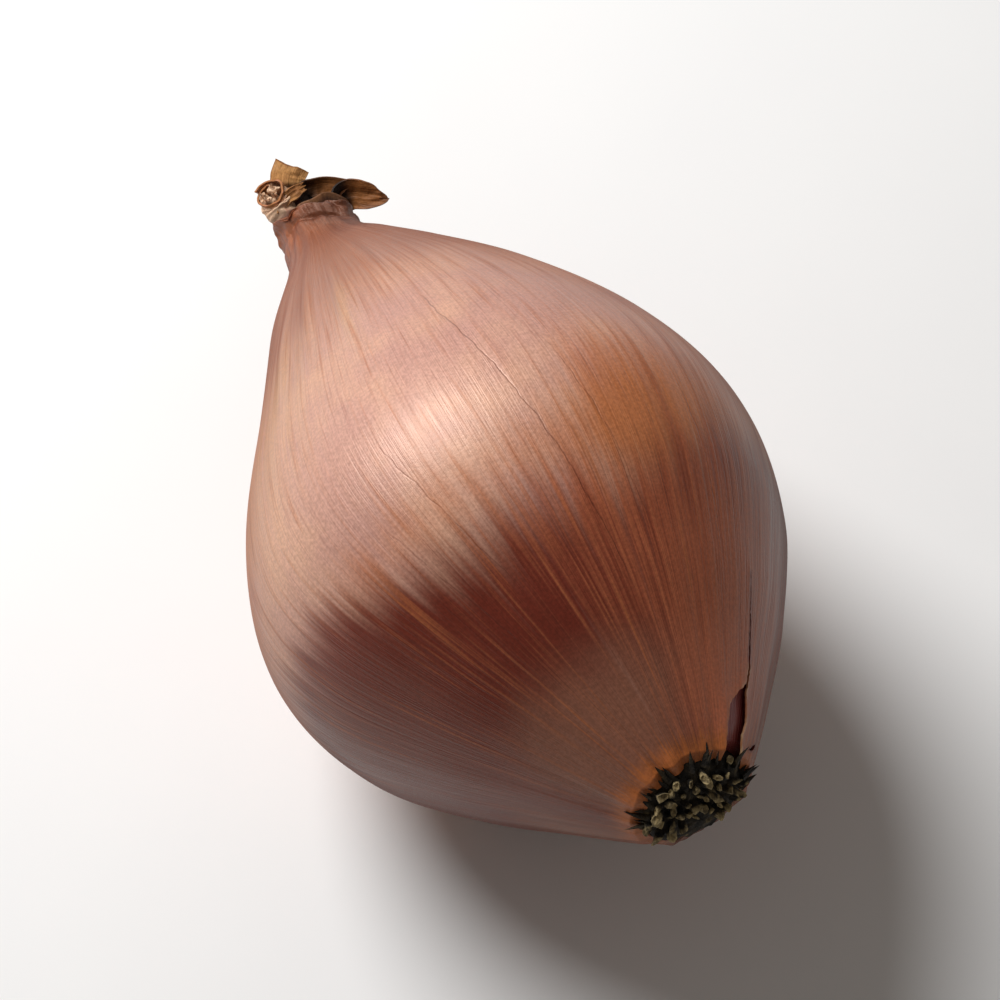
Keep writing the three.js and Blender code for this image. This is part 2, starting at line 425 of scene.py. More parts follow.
class Nodes:
    """Adds nodes to a tree and joins their sockets."""

    def __init__(self, tree: Tree) -> None:
        """Works on one tree."""
        self.tree = tree

    def add(self, kind: str, inputs: dict | None = None, **settings) -> Node:
        """Adds a node.

        Args:
            kind: The node's type name.
            inputs: Values or sockets for its inputs, by name or number.
            settings: The node's own properties.

        Returns:
            The node.
        """
        node = self.tree.nodes.new(kind)
        for name, value in settings.items():
            setattr(node, name, value)
        for key, value in (inputs or {}).items():
            self.feed(self.input(node, key), value)
        return node

    @staticmethod
    def input(node: Node, key: str | int) -> Socket:
        """An input by number, or the one in use that has a name."""
        if isinstance(key, int):
            return node.inputs[key]
        return next(s for s in node.inputs if s.name == key and s.enabled)

    @staticmethod
    def output(node: Node, key: str) -> Socket:
        """The output in use that has a name."""
        return next(s for s in node.outputs if s.name == key and s.enabled)

    def feed(self, socket: Socket, value: Socket | float | tuple) -> None:
        """Links a socket to an input, or sets the input's value."""
        if isinstance(value, Socket):
            self.tree.links.new(value, socket)
        elif isinstance(value, tuple) and len(value) == 3 and socket.type == "RGBA":
            socket.default_value = (*value, 1)
        else:
            socket.default_value = value

    def math(self, operation: str, *values: Socket | float, clamp: bool = False) -> Socket:
        """A Math node's result."""
        node = self.add("ShaderNodeMath", operation=operation, use_clamp=clamp)
        for socket, value in zip(node.inputs, values):
            self.feed(socket, value)
        return node.outputs[0]

    def vector(self, operation: str, *values: Socket | tuple) -> Socket:
        """A Vector Math node's vector."""
        node = self.add("ShaderNodeVectorMath", operation=operation)
        for socket, value in zip(node.inputs, values):
            self.feed(socket, value)
        return node.outputs["Vector"]

    def scaled(self, vector: Socket, scale: Socket | float) -> Socket:
        """A vector times a number."""
        node = self.add("ShaderNodeVectorMath", {0: vector, "Scale": scale}, operation="SCALE")
        return node.outputs["Vector"]

    def jitter(self, low: tuple, high: tuple, seed: Socket | int) -> Socket:
        """A vector drawn for each point between two vectors."""
        inputs = {0: low, 1: high, "Seed": seed}
        return self.add("FunctionNodeRandomValue", inputs, data_type="FLOAT_VECTOR").outputs[0]

    def mix(
        self, factor: Socket | float, first: Socket | Colour, second: Socket | Colour, blend: str = "MIX"
    ) -> Socket:
        """A mix of two colours.

        Args:
            factor: Share of the second colour.
            first: The first colour.
            second: The second colour.
            blend: How they are blended.

        Returns:
            The mixed colour.
        """
        node = self.add("ShaderNodeMix", data_type="RGBA", blend_type=blend)
        for index, value in ((0, factor), (6, first), (7, second)):
            self.feed(node.inputs[index], value)
        return node.outputs[2]

    def times(self, colour: Socket, by: Socket | Colour) -> Socket:
        """A colour multiplied by another."""
        return self.mix(1.0, colour, by, "MULTIPLY")

    def noise(
        self, vector: Socket, scale: Socket | float, detail: float = 2, roughness: float = 0.5
    ) -> Socket:
        """Noise from 0 to 1 at a vector.

        Args:
            vector: Where the noise is read.
            scale: Waves per unit of the vector.
            detail: Count of finer layers.
            roughness: Share of the finer layers.

        Returns:
            The noise.
        """
        inputs = {"Vector": vector, "Scale": scale, "Detail": detail, "Roughness": roughness}
        return self.add("ShaderNodeTexNoise", inputs).outputs[0]

    def ramp(
        self,
        value: Socket,
        low: Socket | float,
        high: Socket | float,
        to_low: float = 0,
        to_high: float = 1,
    ) -> Socket:
        """A value carried smoothly from one range to another.

        Args:
            value: The value.
            low: Where the first range starts.
            high: Where the first range ends.
            to_low: The result at low and before it.
            to_high: The result at high and past it.

        Returns:
            The result.
        """
        node = self.add("ShaderNodeMapRange", interpolation_type="SMOOTHSTEP")
        for index, number in enumerate((value, low, high, to_low, to_high)):
            self.feed(node.inputs[index], number)
        return node.outputs[0]

    def attribute(self, name: str) -> Node:
        """An attribute of the mesh."""
        return self.add("ShaderNodeAttribute", attribute_name=name)

    def grey(self, value: Socket) -> Socket:
        """A grey of one value."""
        return self.add("ShaderNodeCombineColor", {0: value, 1: value, 2: value}).outputs[0]

    def bump(self, height: Socket, strength: float, distance: float) -> Socket:
        """A normal pushed by a height, in metres at most distance."""
        inputs = {"Strength": strength, "Distance": distance, "Height": height}
        return self.add("ShaderNodeBump", inputs).outputs[0]

    def group(self, tree: Tree, **inputs) -> Node:
        """A node group, with its inputs by name, spaces as underscores."""
        node = self.add("ShaderNodeGroup", node_tree=tree)
        for name, value in inputs.items():
            self.feed(node.inputs[name.replace("_", " ")], value)
        return node


def start_group(
    name: str, kind: str, inputs: dict[str, str], outputs: dict[str, str]
) -> tuple[Nodes, Node, Node]:
    """Starts a node group.

    Args:
        name: The group's name.
        kind: The tree's type name.
        inputs: Socket types by name.
        outputs: Socket types by name.

    Returns:
        The tree's nodes, its input node and its output node.
    """
    tree = bpy.data.node_groups.new(name, kind)
    for sockets, side in ((inputs, "INPUT"), (outputs, "OUTPUT")):
        for label, socket_type in sockets.items():
            tree.interface.new_socket(name=label, in_out=side, socket_type=socket_type)
    nodes = Nodes(tree)
    return nodes, nodes.add("NodeGroupInput"), nodes.add("NodeGroupOutput")


FLOAT, VECTOR = "NodeSocketFloat", "NodeSocketVector"


class Effects:
    """Shader node groups that several finishes share, each built once."""

    def __init__(self) -> None:
        """Builds the groups."""
        self.fibres = self._fibres()
        self.stain = self._stain()
        self.grain = self._grain()
        self.hair = self._hair()

    @staticmethod
    def _fibres() -> Tree:
        """Streaks that run along a plant's fibres."""
        nodes, inside, outside = start_group(
            "fibre streaks",
            "ShaderNodeTree",
            {"Fibre": VECTOR, "Across": FLOAT, "Along": FLOAT, "Shift": FLOAT},
            {"Value": FLOAT},
        )
        pins = inside.outputs
        apart = nodes.add("ShaderNodeSeparateXYZ", {0: pins["Fibre"]})
        across, along = pins["Across"], pins["Along"]
        x = nodes.math("MULTIPLY_ADD", apart.outputs[0], across, pins["Shift"])
        y = nodes.math("MULTIPLY", apart.outputs[1], across)
        z = nodes.math("MULTIPLY", apart.outputs[2], along)
        together = nodes.add("ShaderNodeCombineXYZ", {0: x, 1: y, 2: z})
        value = nodes.noise(together.outputs[0], 1, 2.5, 0.55)
        nodes.feed(outside.inputs["Value"], value)
        return nodes.tree

    @staticmethod
    def _stain() -> Tree:
        """An area whose edge is broken up by streaks."""
        nodes, inside, outside = start_group(
            "streaky area",
            "ShaderNodeTree",
            {"Area": FLOAT, "Streak": FLOAT, "Reach": FLOAT, "Softness": FLOAT},
            {"Mask": FLOAT},
        )
        pins = inside.outputs
        push = nodes.math("MULTIPLY", nodes.math("SUBTRACT", pins["Streak"], 0.5), pins["Reach"])
        level = nodes.math("ADD", pins["Area"], push)
        low = nodes.math("SUBTRACT", 0.5, pins["Softness"])
        high = nodes.math("ADD", 0.5, pins["Softness"])
        nodes.feed(outside.inputs["Mask"], nodes.ramp(level, low, high))
        return nodes.tree

    @staticmethod
    def _grain() -> Tree:
        """Fine grain of a dry plant skin."""
        nodes, inside, outside = start_group(
            "dry grain", "ShaderNodeTree", {"Vector": VECTOR, "Size": FLOAT}, {"Value": FLOAT}
        )
        scale = nodes.math("DIVIDE", 1, inside.outputs["Size"])
        nodes.feed(outside.inputs["Value"], nodes.noise(inside.outputs["Vector"], scale, 3))
        return nodes.tree

    @staticmethod
    def _hair() -> Tree:
        """A hairline crease along the bulb, between two stations."""
        nodes, inside, outside = start_group(
            "hairline crease",
            "ShaderNodeTree",
            {
                "Turn": FLOAT,
                "Station": FLOAT,
                "Start turn": FLOAT,
                "End turn": FLOAT,
                "Start": FLOAT,
                "End": FLOAT,
                "Half width": FLOAT,
            },
            {"Mask": FLOAT},
        )
        pins = inside.outputs
        start, end = pins["Start"], pins["End"]
        limits = (pins["Station"], start, end, pins["Start turn"], pins["End turn"])
        place = nodes.add("ShaderNodeMapRange", dict(enumerate(limits)), clamp=False)
        wobble = nodes.add("ShaderNodeTexNoise", {"W": pins["Station"], "Scale": 0.35}, noise_dimensions="1D")
        middle = nodes.math("MULTIPLY_ADD", wobble.outputs[0], 1.6, place.outputs[0])
        off = nodes.math("ABSOLUTE", nodes.math("SUBTRACT", pins["Turn"], middle))
        line = nodes.ramp(off, 0, pins["Half width"], 1, 0)
        mid = nodes.math("MULTIPLY", nodes.math("ADD", start, end), 0.5)
        half = nodes.math("ABSOLUTE", nodes.math("MULTIPLY", nodes.math("SUBTRACT", start, end), 0.5))
        away = nodes.math("ABSOLUTE", nodes.math("SUBTRACT", pins["Station"], mid))
        beyond = nodes.math("SUBTRACT", away, half)
        nodes.feed(outside.inputs["Mask"], nodes.math("MULTIPLY", line, nodes.ramp(beyond, -3, 0, 1, 0)))
        return nodes.tree


def start_material(name: str) -> tuple[bpy.types.Material, Nodes, Node]:
    """A new material, its nodes and its Principled BSDF."""
    material = bpy.data.materials.new(name)
    material.use_nodes = True
    return material, Nodes(material.node_tree), material.node_tree.nodes["Principled BSDF"]


# ---- Finishes ----

SKIN_MASKS = (
    "stain",
    "warm",
    "copper",
    "pale",
    "dusk",
    "neck",
    "collar",
    "foot",
    "flush",
    "ring",
    "fray",
    "slit",
)


@dataclass(frozen=True)
class Crease:
    """A hairline crease of the skin, from one station and turn to another."""

    start: float
    start_turn: float
    end: float
    end_turn: float
    half_width: float = 0.35
    depth: float = 0.6


@dataclass(frozen=True)
class SkinFinish:
    """Copper and maroon papery skin with a satin sheen."""

    peach: Colour = (0.59, 0.33, 0.228)
    rose: Colour = (0.49, 0.26, 0.208)
    copper: Colour = (0.44, 0.145, 0.052)
    maroon: Colour = (0.14, 0.015, 0.006)
    sienna: Colour = (0.4, 0.105, 0.045)
    umber: Colour = (0.24, 0.092, 0.055)
    flush: Colour = (0.5, 0.145, 0.07)
    tan: Colour = (0.33, 0.112, 0.038)
    collar: Colour = (0.27, 0.072, 0.022)
    # Painted shade: the dark brown laid where the skin lies in shade.
    dusk: Colour = (0.12, 0.032, 0.012)
    rust: Colour = (0.44, 0.125, 0.028)
    straw: Colour = (0.62, 0.4, 0.22)
    fibre_tint: Colour = (0.55, 0.38, 0.34)
    hair_tint: Colour = (1.3, 1.28, 1.25)
    crease_shade_tint: Colour = (0.35, 0.2, 0.16)
    limb_shade_tint: Colour = (0.48, 0.26, 0.145)
    sheen_tint: Colour = (1.0, 0.73, 0.6)
    gloss: float = 0.78
    satin: tuple[float, float] = (0.34, 0.46)
    edge_matt: float = 0.25
    grain_size: float = 0.00024
    relief: float = 0.00016
    creases: tuple[Crease, ...] = (
        Crease(41, -3, 9, 9, 0.3, 0.75),
        Crease(27, -27, 12, -20, 0.3, 0.5),
        Crease(22, -36, 8, -30, 0.35, 0.4),
        Crease(30, 14, 12, 20, 0.3, 0.4),
        Crease(24, 40, 10, 43, 0.3, 0.5),
    )

    def build(self, effects: Effects) -> bpy.types.Material:
        """Builds the material.

        Args:
            effects: The shared node groups.

        Returns:
            The material.
        """
        material, n, shader = start_material("papery skin")
        fibre = n.attribute("fibre").outputs["Vector"]
        masks = {name: n.attribute(name).outputs["Fac"] for name in SKIN_MASKS}
        place = n.add("ShaderNodeTexCoord").outputs["Object"]

        def streaks(across: float, along: float, shift: float) -> Socket:
            """Fibre streaks of one size."""
            return n.group(effects.fibres, Fibre=fibre, Across=across, Along=along, Shift=shift).outputs[0]

        def area(name: str, streak: Socket, reach: float, soft: float) -> Socket:
            """A streaky-edged area, from the mask of its name."""
            made = n.group(effects.stain, Area=masks[name], Streak=streak, Reach=reach, Softness=soft)
            return made.outputs[0]

        broad, middle, fine = streaks(13, 0.055, 3), streaks(42, 0.085, 11), streaks(130, 0.16, 23)
        hairs = streaks(210, 0.09, 37)
        blotch = n.noise(place, 95, 3, 0.55)
        grain = n.group(effects.grain, Vector=place, Size=self.grain_size).outputs[0]
        mixed = n.math("MULTIPLY_ADD", broad, 0.55, n.math("MULTIPLY", middle, 0.45))

        colour = n.mix(n.ramp(blotch, 0.36, 0.64), self.peach, self.rose)
        # Pale straw streaks: partly real pale skin, partly painted highlight along the raised neck ridges.
        colour = n.mix(n.math("MULTIPLY", masks["pale"], n.ramp(mixed, 0.3, 0.6)), colour, self.straw)
        colour = n.mix(area("copper", mixed, 1.5, 0.45), colour, self.copper)
        # Colours of the dark lower band: real maroon, sienna, umber and flush tones, set darker as painted
        # shade.
        depth = n.mix(area("warm", middle, 1.6, 0.5), self.maroon, self.sienna)
        depth = n.mix(area("foot", blotch, 1.2, 0.5), depth, self.umber)
        depth = n.mix(area("flush", middle, 1.2, 0.5), depth, self.flush)
        # The dark lower band from the stain mask: partly real maroon stain, partly painted shade on the side
        # turned from the key light.
        colour = n.mix(area("stain", mixed, 1.5, 0.42), colour, depth)
        colour = n.mix(area("neck", middle, 0.8, 0.5), colour, self.tan)
        colour = n.mix(area("collar", middle, 0.8, 0.5), colour, self.collar)
        colour = n.mix(area("ring", middle, 1.8, 0.45), colour, self.rust)
        # Painted shade: dark brown beside and under the leaf ends, at the neck's mouth and under the root
        # lip.
        colour = n.mix(area("dusk", middle, 0.8, 0.5), colour, self.dusk)
        dark = n.math("MULTIPLY", n.ramp(fine, 0.5, 0.74), 0.4)
        colour = n.mix(dark, colour, n.times(colour, self.fibre_tint))
        light = n.math("MULTIPLY", n.ramp(hairs, 0.55, 0.78), 0.5)
        colour = n.mix(light, colour, n.times(colour, self.hair_tint))
        turn, station = n.attribute("turn").outputs["Fac"], n.attribute("station").outputs["Fac"]
        lines = 0.0
        for crease in self.creases:
            made = n.group(
                effects.hair,
                Turn=turn,
                Station=station,
                Start_turn=crease.start_turn,
                End_turn=crease.end_turn,
                Start=crease.start,
                End=crease.end,
                Half_width=crease.half_width,
            )
            lines = n.math("MULTIPLY_ADD", made.outputs[0], crease.depth, lines)
        # Painted shade: the colour darkens along the hairline creases; the bump also dents them.
        creased = n.math("MULTIPLY", lines, 0.8, clamp=True)
        colour = n.mix(creased, colour, n.times(colour, self.crease_shade_tint))
        colour = n.times(colour, n.grey(n.ramp(grain, 0.3, 0.7, 0.86, 1.12)))
        facing = n.add("ShaderNodeLayerWeight", {"Blend": 0.5}).outputs["Facing"]
        # Painted shade: the colour darkens towards the outline, where the skin turns away from the camera.
        colour = n.mix(n.ramp(facing, 0.35, 0.95, 0, 0.8), colour, n.times(colour, self.limb_shade_tint))
        colour = n.mix(masks["fray"], colour, self.straw)
        # Painted shade: dark maroon on the skin beside the tear's narrow slit and round the nick, where the
        # gaps lie in shade.
        colour = n.mix(masks["slit"], colour, self.maroon)
        n.feed(shader.inputs["Base Color"], colour)
        worn = n.math("MULTIPLY_ADD", middle, 0.6, n.math("MULTIPLY", grain, 0.4))
        rough = n.ramp(worn, 0.3, 0.7, *self.satin)
        rough = n.math("ADD", rough, n.ramp(facing, 0.7, 0.95, 0, self.edge_matt))
        n.feed(shader.inputs["Roughness"], rough)
        shader.inputs["Specular IOR Level"].default_value = self.gloss
        shader.inputs["Specular Tint"].default_value = (*self.sheen_tint, 1)
        height = n.math("MULTIPLY_ADD", fine, 0.55, n.math("MULTIPLY", middle, 0.5))
        height = n.math("MULTIPLY_ADD", grain, 0.16, height)
        height = n.math("SUBTRACT", height, n.math("MULTIPLY", lines, 0.5))
        n.feed(shader.inputs["Normal"], n.bump(height, 0.55, self.relief))
        return material


@dataclass(frozen=True)
class FleshFinish:
    """Moist maroon inner layer."""

    wine: Colour = (0.22, 0.03, 0.028)
    plum: Colour = (0.36, 0.1, 0.095)
    coat: float = 0.25
    coat_roughness: float = 0.18
    relief: float = 0.00015

    def build(self, effects: Effects) -> bpy.types.Material:
        """Builds the material.

        Args:
            effects: The shared node groups.

        Returns:
            The material.
        """
        material, n, shader = start_material("glossy flesh")
        fibre = n.attribute("fibre").outputs["Vector"]
        streak = n.group(effects.fibres, Fibre=fibre, Across=70.0, Along=0.12, Shift=5.0).outputs[0]
        n.feed(shader.inputs["Base Color"], n.mix(n.ramp(streak, 0.35, 0.68), self.wine, self.plum))
        n.feed(shader.inputs["Roughness"], n.ramp(streak, 0.3, 0.7, 0.2, 0.34))
        shader.inputs["Coat Weight"].default_value = self.coat
        shader.inputs["Coat Roughness"].default_value = self.coat_roughness
        n.feed(shader.inputs["Normal"], n.bump(streak, 0.4, self.relief))
        return material


@dataclass(frozen=True)
class CorkFinish:
    """Dry corky root plate and clipped roots, pale where they were cut."""

    earth: Colour = (0.009, 0.007, 0.005)
    bark: Colour = (0.036, 0.026, 0.014)
    cut: Colour = (0.35, 0.265, 0.13)
    core: Colour = (0.2, 0.14, 0.06)
    gloss: float = 0.25
    grain_size: float = 0.00018
    relief: float = 0.00025

    def build(self, effects: Effects) -> bpy.types.Material:
        """Builds the material.

        Args:
            effects: The shared node groups.

        Returns:
            The material.
        """
        material, n, shader = start_material("root cork")
        place = n.add("ShaderNodeTexCoord").outputs["Object"]
        tip, core = n.attribute("tip").outputs["Fac"], n.attribute("core").outputs["Fac"]
        coarse = n.noise(place, 900, 3, 0.6)
        grain = n.group(effects.grain, Vector=place, Size=self.grain_size).outputs[0]
        colour = n.mix(n.ramp(coarse, 0.4, 0.66), self.earth, self.bark)
        reach = n.math("MULTIPLY_ADD", n.math("SUBTRACT", coarse, 0.5), 3.2, tip)
        colour = n.mix(n.ramp(reach, 0.35, 1.2), colour, self.cut)
        colour = n.mix(core, colour, self.core)
        colour = n.times(colour, n.grey(n.ramp(grain, 0.3, 0.7, 0.7, 1.25)))
        n.feed(shader.inputs["Base Color"], colour)
        n.feed(shader.inputs["Roughness"], n.ramp(grain, 0.3, 0.7, 0.72, 0.95))
        shader.inputs["Specular IOR Level"].default_value = self.gloss
        height = n.math("MULTIPLY_ADD", grain, 0.6, coarse)
        n.feed(shader.inputs["Normal"], n.bump(height, 0.8, self.relief))
        return material


@dataclass(frozen=True)
class LeafFinish:
    """Dry leaf: one colour in the middle of the blade, another at its rim and a third, painted shade, deep
    inside.
    """

    name: str
    blade: Colour
    rim: Colour
    deep: Colour
    vein: Colour
    vein_amount: float = 0.5
    rough: tuple[float, float] = (0.5, 0.7)
    gloss: float = 0.25
    grain_size: float = 0.0002
    relief: float = 0.00018

    def build(self, effects: Effects) -> bpy.types.Material:
        """Builds the material.

        Args:
            effects: The shared node groups.

        Returns:
            The material.
        """
        material, n, shader = start_material(self.name)
        fibre = n.attribute("fibre").outputs["Vector"]
        rim, deep = n.attribute("rim").outputs["Fac"], n.attribute("deep").outputs["Fac"]
        place = n.add("ShaderNodeTexCoord").outputs["Object"]
        broad = n.group(effects.fibres, Fibre=fibre, Across=2.2, Along=0.16, Shift=7.0).outputs[0]
        fine = n.group(effects.fibres, Fibre=fibre, Across=7.5, Along=0.5, Shift=19.0).outputs[0]
        grain = n.group(effects.grain, Vector=place, Size=self.grain_size).outputs[0]
        blotch = n.noise(place, 700, 2, 0.5)
        edge = n.math("MULTIPLY_ADD", n.math("SUBTRACT", blotch, 0.5), 0.9, rim)
        colour = n.mix(n.ramp(edge, 0.3, 0.85), self.blade, self.rim)
        for streak, low, high, share in ((broad, 0.48, 0.66, 1.0), (fine, 0.5, 0.72, 0.6)):
            veins = n.math("MULTIPLY", n.ramp(streak, low, high), self.vein_amount * share)
            colour = n.mix(veins, colour, self.vein)
        # Painted shade: darker deep in the neck, towards the blade's base.
        colour = n.mix(n.ramp(deep, 0.1, 0.9), colour, self.deep)
        colour = n.times(colour, n.grey(n.ramp(grain, 0.3, 0.7, 0.86, 1.12)))
        n.feed(shader.inputs["Base Color"], colour)
        n.feed(shader.inputs["Roughness"], n.ramp(fine, 0.3, 0.7, *self.rough))
        shader.inputs["Specular IOR Level"].default_value = self.gloss
        height = n.math("MULTIPLY_ADD", grain, 0.3, n.math("MULTIPLY_ADD", fine, 0.5, broad))
        n.feed(shader.inputs["Normal"], n.bump(height, 0.6, self.relief))
        return material


# ---- Skin ----


@dataclass(frozen=True)
class Opening:
    """An opening torn through the skin. Points are [round, along] from its middle."""

    station: float
    turn: float
    outline: tuple[tuple[float, float], ...]
    ragged: float
    step: float = 0.22
    seed: int = 5

    def edge(self) -> Array:
        """The outline with its long sides broken into ragged steps."""
        rng = np.random.default_rng(self.seed)
        points = np.asarray(self.outline, float)
        made = []
        for a, b in zip(points, np.roll(points, -1, axis=0)):
            count = max(1, round(float(np.linalg.norm(b - a)) / self.step))
            side = np.array([b[1] - a[1], a[0] - b[0]]) / max(float(np.linalg.norm(b - a)), 1e-9)
            for k in range(count):
                push = 0 if k == 0 else rng.uniform(-1, 1) * self.ragged
                made.append(a + (b - a) * k / count + side * push)
        return np.array(made)

    def distance(self, form: BulbForm, points: Array) -> Array:
        """Distance in the skin from points to the opening's edge.

        Args:
            form: The bulb's form.
            points: Points in the bulb's frame.

        Returns:
            The distances in millimetres, infinite on the bulb's far side.
        """
        origin, axes = form.skin_frame(self.station, self.turn)
        local = (points - origin) @ axes.T
        flat, outline = local[..., :2], np.asarray(self.outline, float)
        nearest = np.full(flat.shape[:-1], np.inf)
        for a, b in zip(outline, np.roll(outline, -1, axis=0)):
            span = b - a
            t = np.clip(((flat - a) @ span) / max(float(span @ span), 1e-9), 0, 1)
            nearest = np.minimum(nearest, np.linalg.norm(flat - a - t[..., None] * span, axis=-1))
        return np.where(np.abs(local[..., 2]) < 5, nearest, np.inf)

    def cutter(self, form: BulbForm, depth: float) -> bpy.types.Object:
        """A closed prism that reaches through the skin.

        Args:
            form: The bulb's form.
            depth: How far the prism reaches to each side of the skin, in millimetres.

        Returns:
            The prism.
        """
        origin, axes = form.skin_frame(self.station, self.turn)
        edge = self.edge()
        low = origin + np.column_stack([edge, np.full(len(edge), -depth)]) @ axes
        high = origin + np.column_stack([edge, np.full(len(edge), depth)]) @ axes
        count = len(edge)
        (x, y), (next_x, next_y) = edge.T, np.roll(edge, -1, axis=0).T
        turned = float(np.sum(x * next_y - next_x * y)) < 0
        walls = bridge(np.arange(count), np.arange(count) + count, True)
        caps = [list(range(count))[::-1], list(range(count, 2 * count))]
        faces = [list(f) for f in walls] + caps
        if turned:
            faces = [f[::-1] for f in faces]
        made = make_object("cutter", form.to_part(np.vstack([low, high])), faces)
        made.hide_render = True
        return made


@dataclass
class PaperySkin:
    """The dry outer skin: a thin wall, pleated at the neck and torn beside the root."""

    form: BulbForm
    finish: SkinFinish
    columns: int = 288
    rows: int = 188
    inner_step: int = 3
    wall: float = 0.16
    rest_softness: float = 0.12
    lip_rows: int = 7
    lip_reach: float = 0.85
    lip_drop: float = 0.3
    low_side: Patch = Patch(66, 44, 1, 48, 1.8)
    brim_rows: int = 16
    brim_height: float = 0.7
    tear: Opening = Opening(
        2.5,
        53.5,
        (
            (-1.1, -4.4),
            (-1.15, -1.8),
            (-1.05, 0),
            (-0.25, 1.1),
            (0.6, 1.9),
            (0.9, 3.1),
            (0.8, 6.5),
            (0.62, 10.4),
            (0.92, 6.5),
            (1.12, 3.1),
            (0.9, 1.9),
            (0.75, 1.1),
            (0.98, 0),
            (1.1, -0.9),
            (0.6, -1.9),
            (0.7, -4.4),
        ),
        0.06,
    )
    nick: Opening = Opening(
        0.95,
        80,
        ((-0.52, -0.42), (-0.14, -0.3), (0.2, 0.1), (0.5, 0.6), (0.36, 0.6), (-0.1, 0.22)),
        0.02,
        0.3,
    )
    ridges: tuple[Patch, ...] = (
        Patch(48, -50, 6, 2.6, 0.3),
        Patch(50, -36, 6, 2.4, 0.26),
        Patch(47, -21, 7, 2.2, 0.3),
        Patch(52, -6, 5, 2.6, 0.2),
        Patch(50, 60, 6, 3, 0.22),
        Patch(47, 110, 8, 3, 0.3),
        Patch(50, 160, 6, 3, 0.25),
        Patch(48, -120, 6, 3, 0.3),
        Patch(58, -85, 7, 45, 0.75),
    )
    # Where the dark lower band starts at each turn; the band is partly real maroon, partly painted shade on
    # the side turned from the key light.
    stain_and_shade_edge: tuple[tuple[float, float], ...] = (
        (-150, 22),
        (-110, 22.5),
        (-80, 22.5),
        (-60, 21.5),
        (-45, 17.8),
        (-30, 16.4),
        (-15, 16.5),
        (0, 16),
        (15, 16.5),
        (30, 17),
        (45, 19),
        (60, 20.5),
        (100, 21),
        (140, 23),
        (180, 24.5),
    )
    stain_and_shade_fade: float = 4.6
    stains: tuple[Patch, ...] = (
        Patch(23, 33, 5, 3, 0.35),
        Patch(25, 21, 4, 2.5, 0.25),
        Patch(25, 47, 5, 4, 0.3),
        Patch(30, 40, 4, 2, 0.2),
    )
    warms: tuple[Patch, ...] = (
        Patch(9, 42, 11, 42, 0.95),
        Patch(8, 150, 8, 50, 0.7),
        Patch(17, 4, 3, 20, 0.4),
    )
    # Where the umber foot tone is left out: on the right foot for its real warmer tones, and on the left foot
    # so the darker maroon shows there as painted shade.
    bare_and_shaded_feet: tuple[Patch, ...] = (Patch(4, 48, 40, 40, 0.9), Patch(3, -88, 8, 22, 0.6))
    flushes: tuple[Patch, ...] = (Patch(2.5, 44, 5, 34, 0.95),)
    coppers: tuple[Patch, ...] = (
        Patch(21, 31, 9, 22, 0.85),
        Patch(23, 57, 8, 12, 0.6),
        Patch(19.5, -26, 3.2, 60, 0.42),
        Patch(26, 130, 10, 24, 0.7),
        Patch(22, -150, 9, 28, 0.7),
    )
    # Painted shade patches: the neck beside and under the leaf ends, the top of the neck's mouth and the
    # underside of the root lip.
    painted_shades: tuple[Patch, ...] = (
        Patch(64, 32, 4.5, 48, 0.9),
        Patch(65, -5, 1.6, 40, 0.5),
        Patch(-0.6, 170, 1.3, 70, 1.0),
    )
    fold_front: Patch = Patch(65, 5, 99, 38)
    fold_back: Patch = Patch(65, 170, 99, 50)
    # Pale straw patches: partly real pale skin, partly painted highlight along the raised neck ridges.
    pales_and_ridge_highlights: tuple[Patch, ...] = (
        Patch(46, -62, 16, 26, 0.8),
        Patch(47, -21, 7, 3.5, 0.9),
        Patch(48, -50, 7, 4, 0.9),
        Patch(50, -36, 6, 3.4, 0.7),
        Patch(44, 150, 16, 30, 0.7),
        Patch(54.3, -13, 0.7, 5, 0.9),
    )

    def relief(self, station: Array, turn: Array) -> Array:
        """How far the skin stands out from the plain form.

        Args:
            station: Places along the bulb.
            turn: Places around it, in degrees.

        Returns:
            The heights in millimetres.
        """
        x = turn / 360

        def waves(cells: int, length: float, seed: int) -> Array:
            """Waves around the bulb that change slowly along it."""
            return soft_noise((x % 1) * cells, station / length + 50, seed, cells)

        even = 0.16 * waves(4, 16, 1) + 0.07 * waves(9, 10, 2)
        belly = 0.35 + 0.65 * fade(station, 24, 8)
        ribs = belly * (0.06 * waves(36, 26, 3) + 0.035 * waves(84, 20, 4))
        gather = fade(station, 46, 63)
        pleats = gather * (0.26 * waves(9, 16, 5) + 0.17 * waves(23, 12, 6) + 0.07 * waves(48, 9, 7))
        roots = fade(station, 8, 0.5) * (0.09 * waves(44, 7, 8) + 0.07 * waves(18, 9, 9))
        line = 64.8 + 0.6 * waves(7, 30, 10) + 0.4 * waves(17, 30, 11)
        front = self.fold_front.weight(station, turn)
        strong = 0.15 + 0.85 * front + 0.6 * self.fold_back.weight(station, turn)
        fold = -0.5 * strong * np.exp(-(((station - line) / 0.24) ** 2)) * (0.7 + 0.3 * waves(13, 30, 12))
        swell = fade(station, 62.5, 65.5) * (0.3 * waves(13, 1.5, 13) + 0.16 * waves(27, 0.8, 14))
        raised = sum(ridge.weight(station, turn) for ridge in self.ridges)
        return even + ribs + pleats + roots + fold + swell + raised

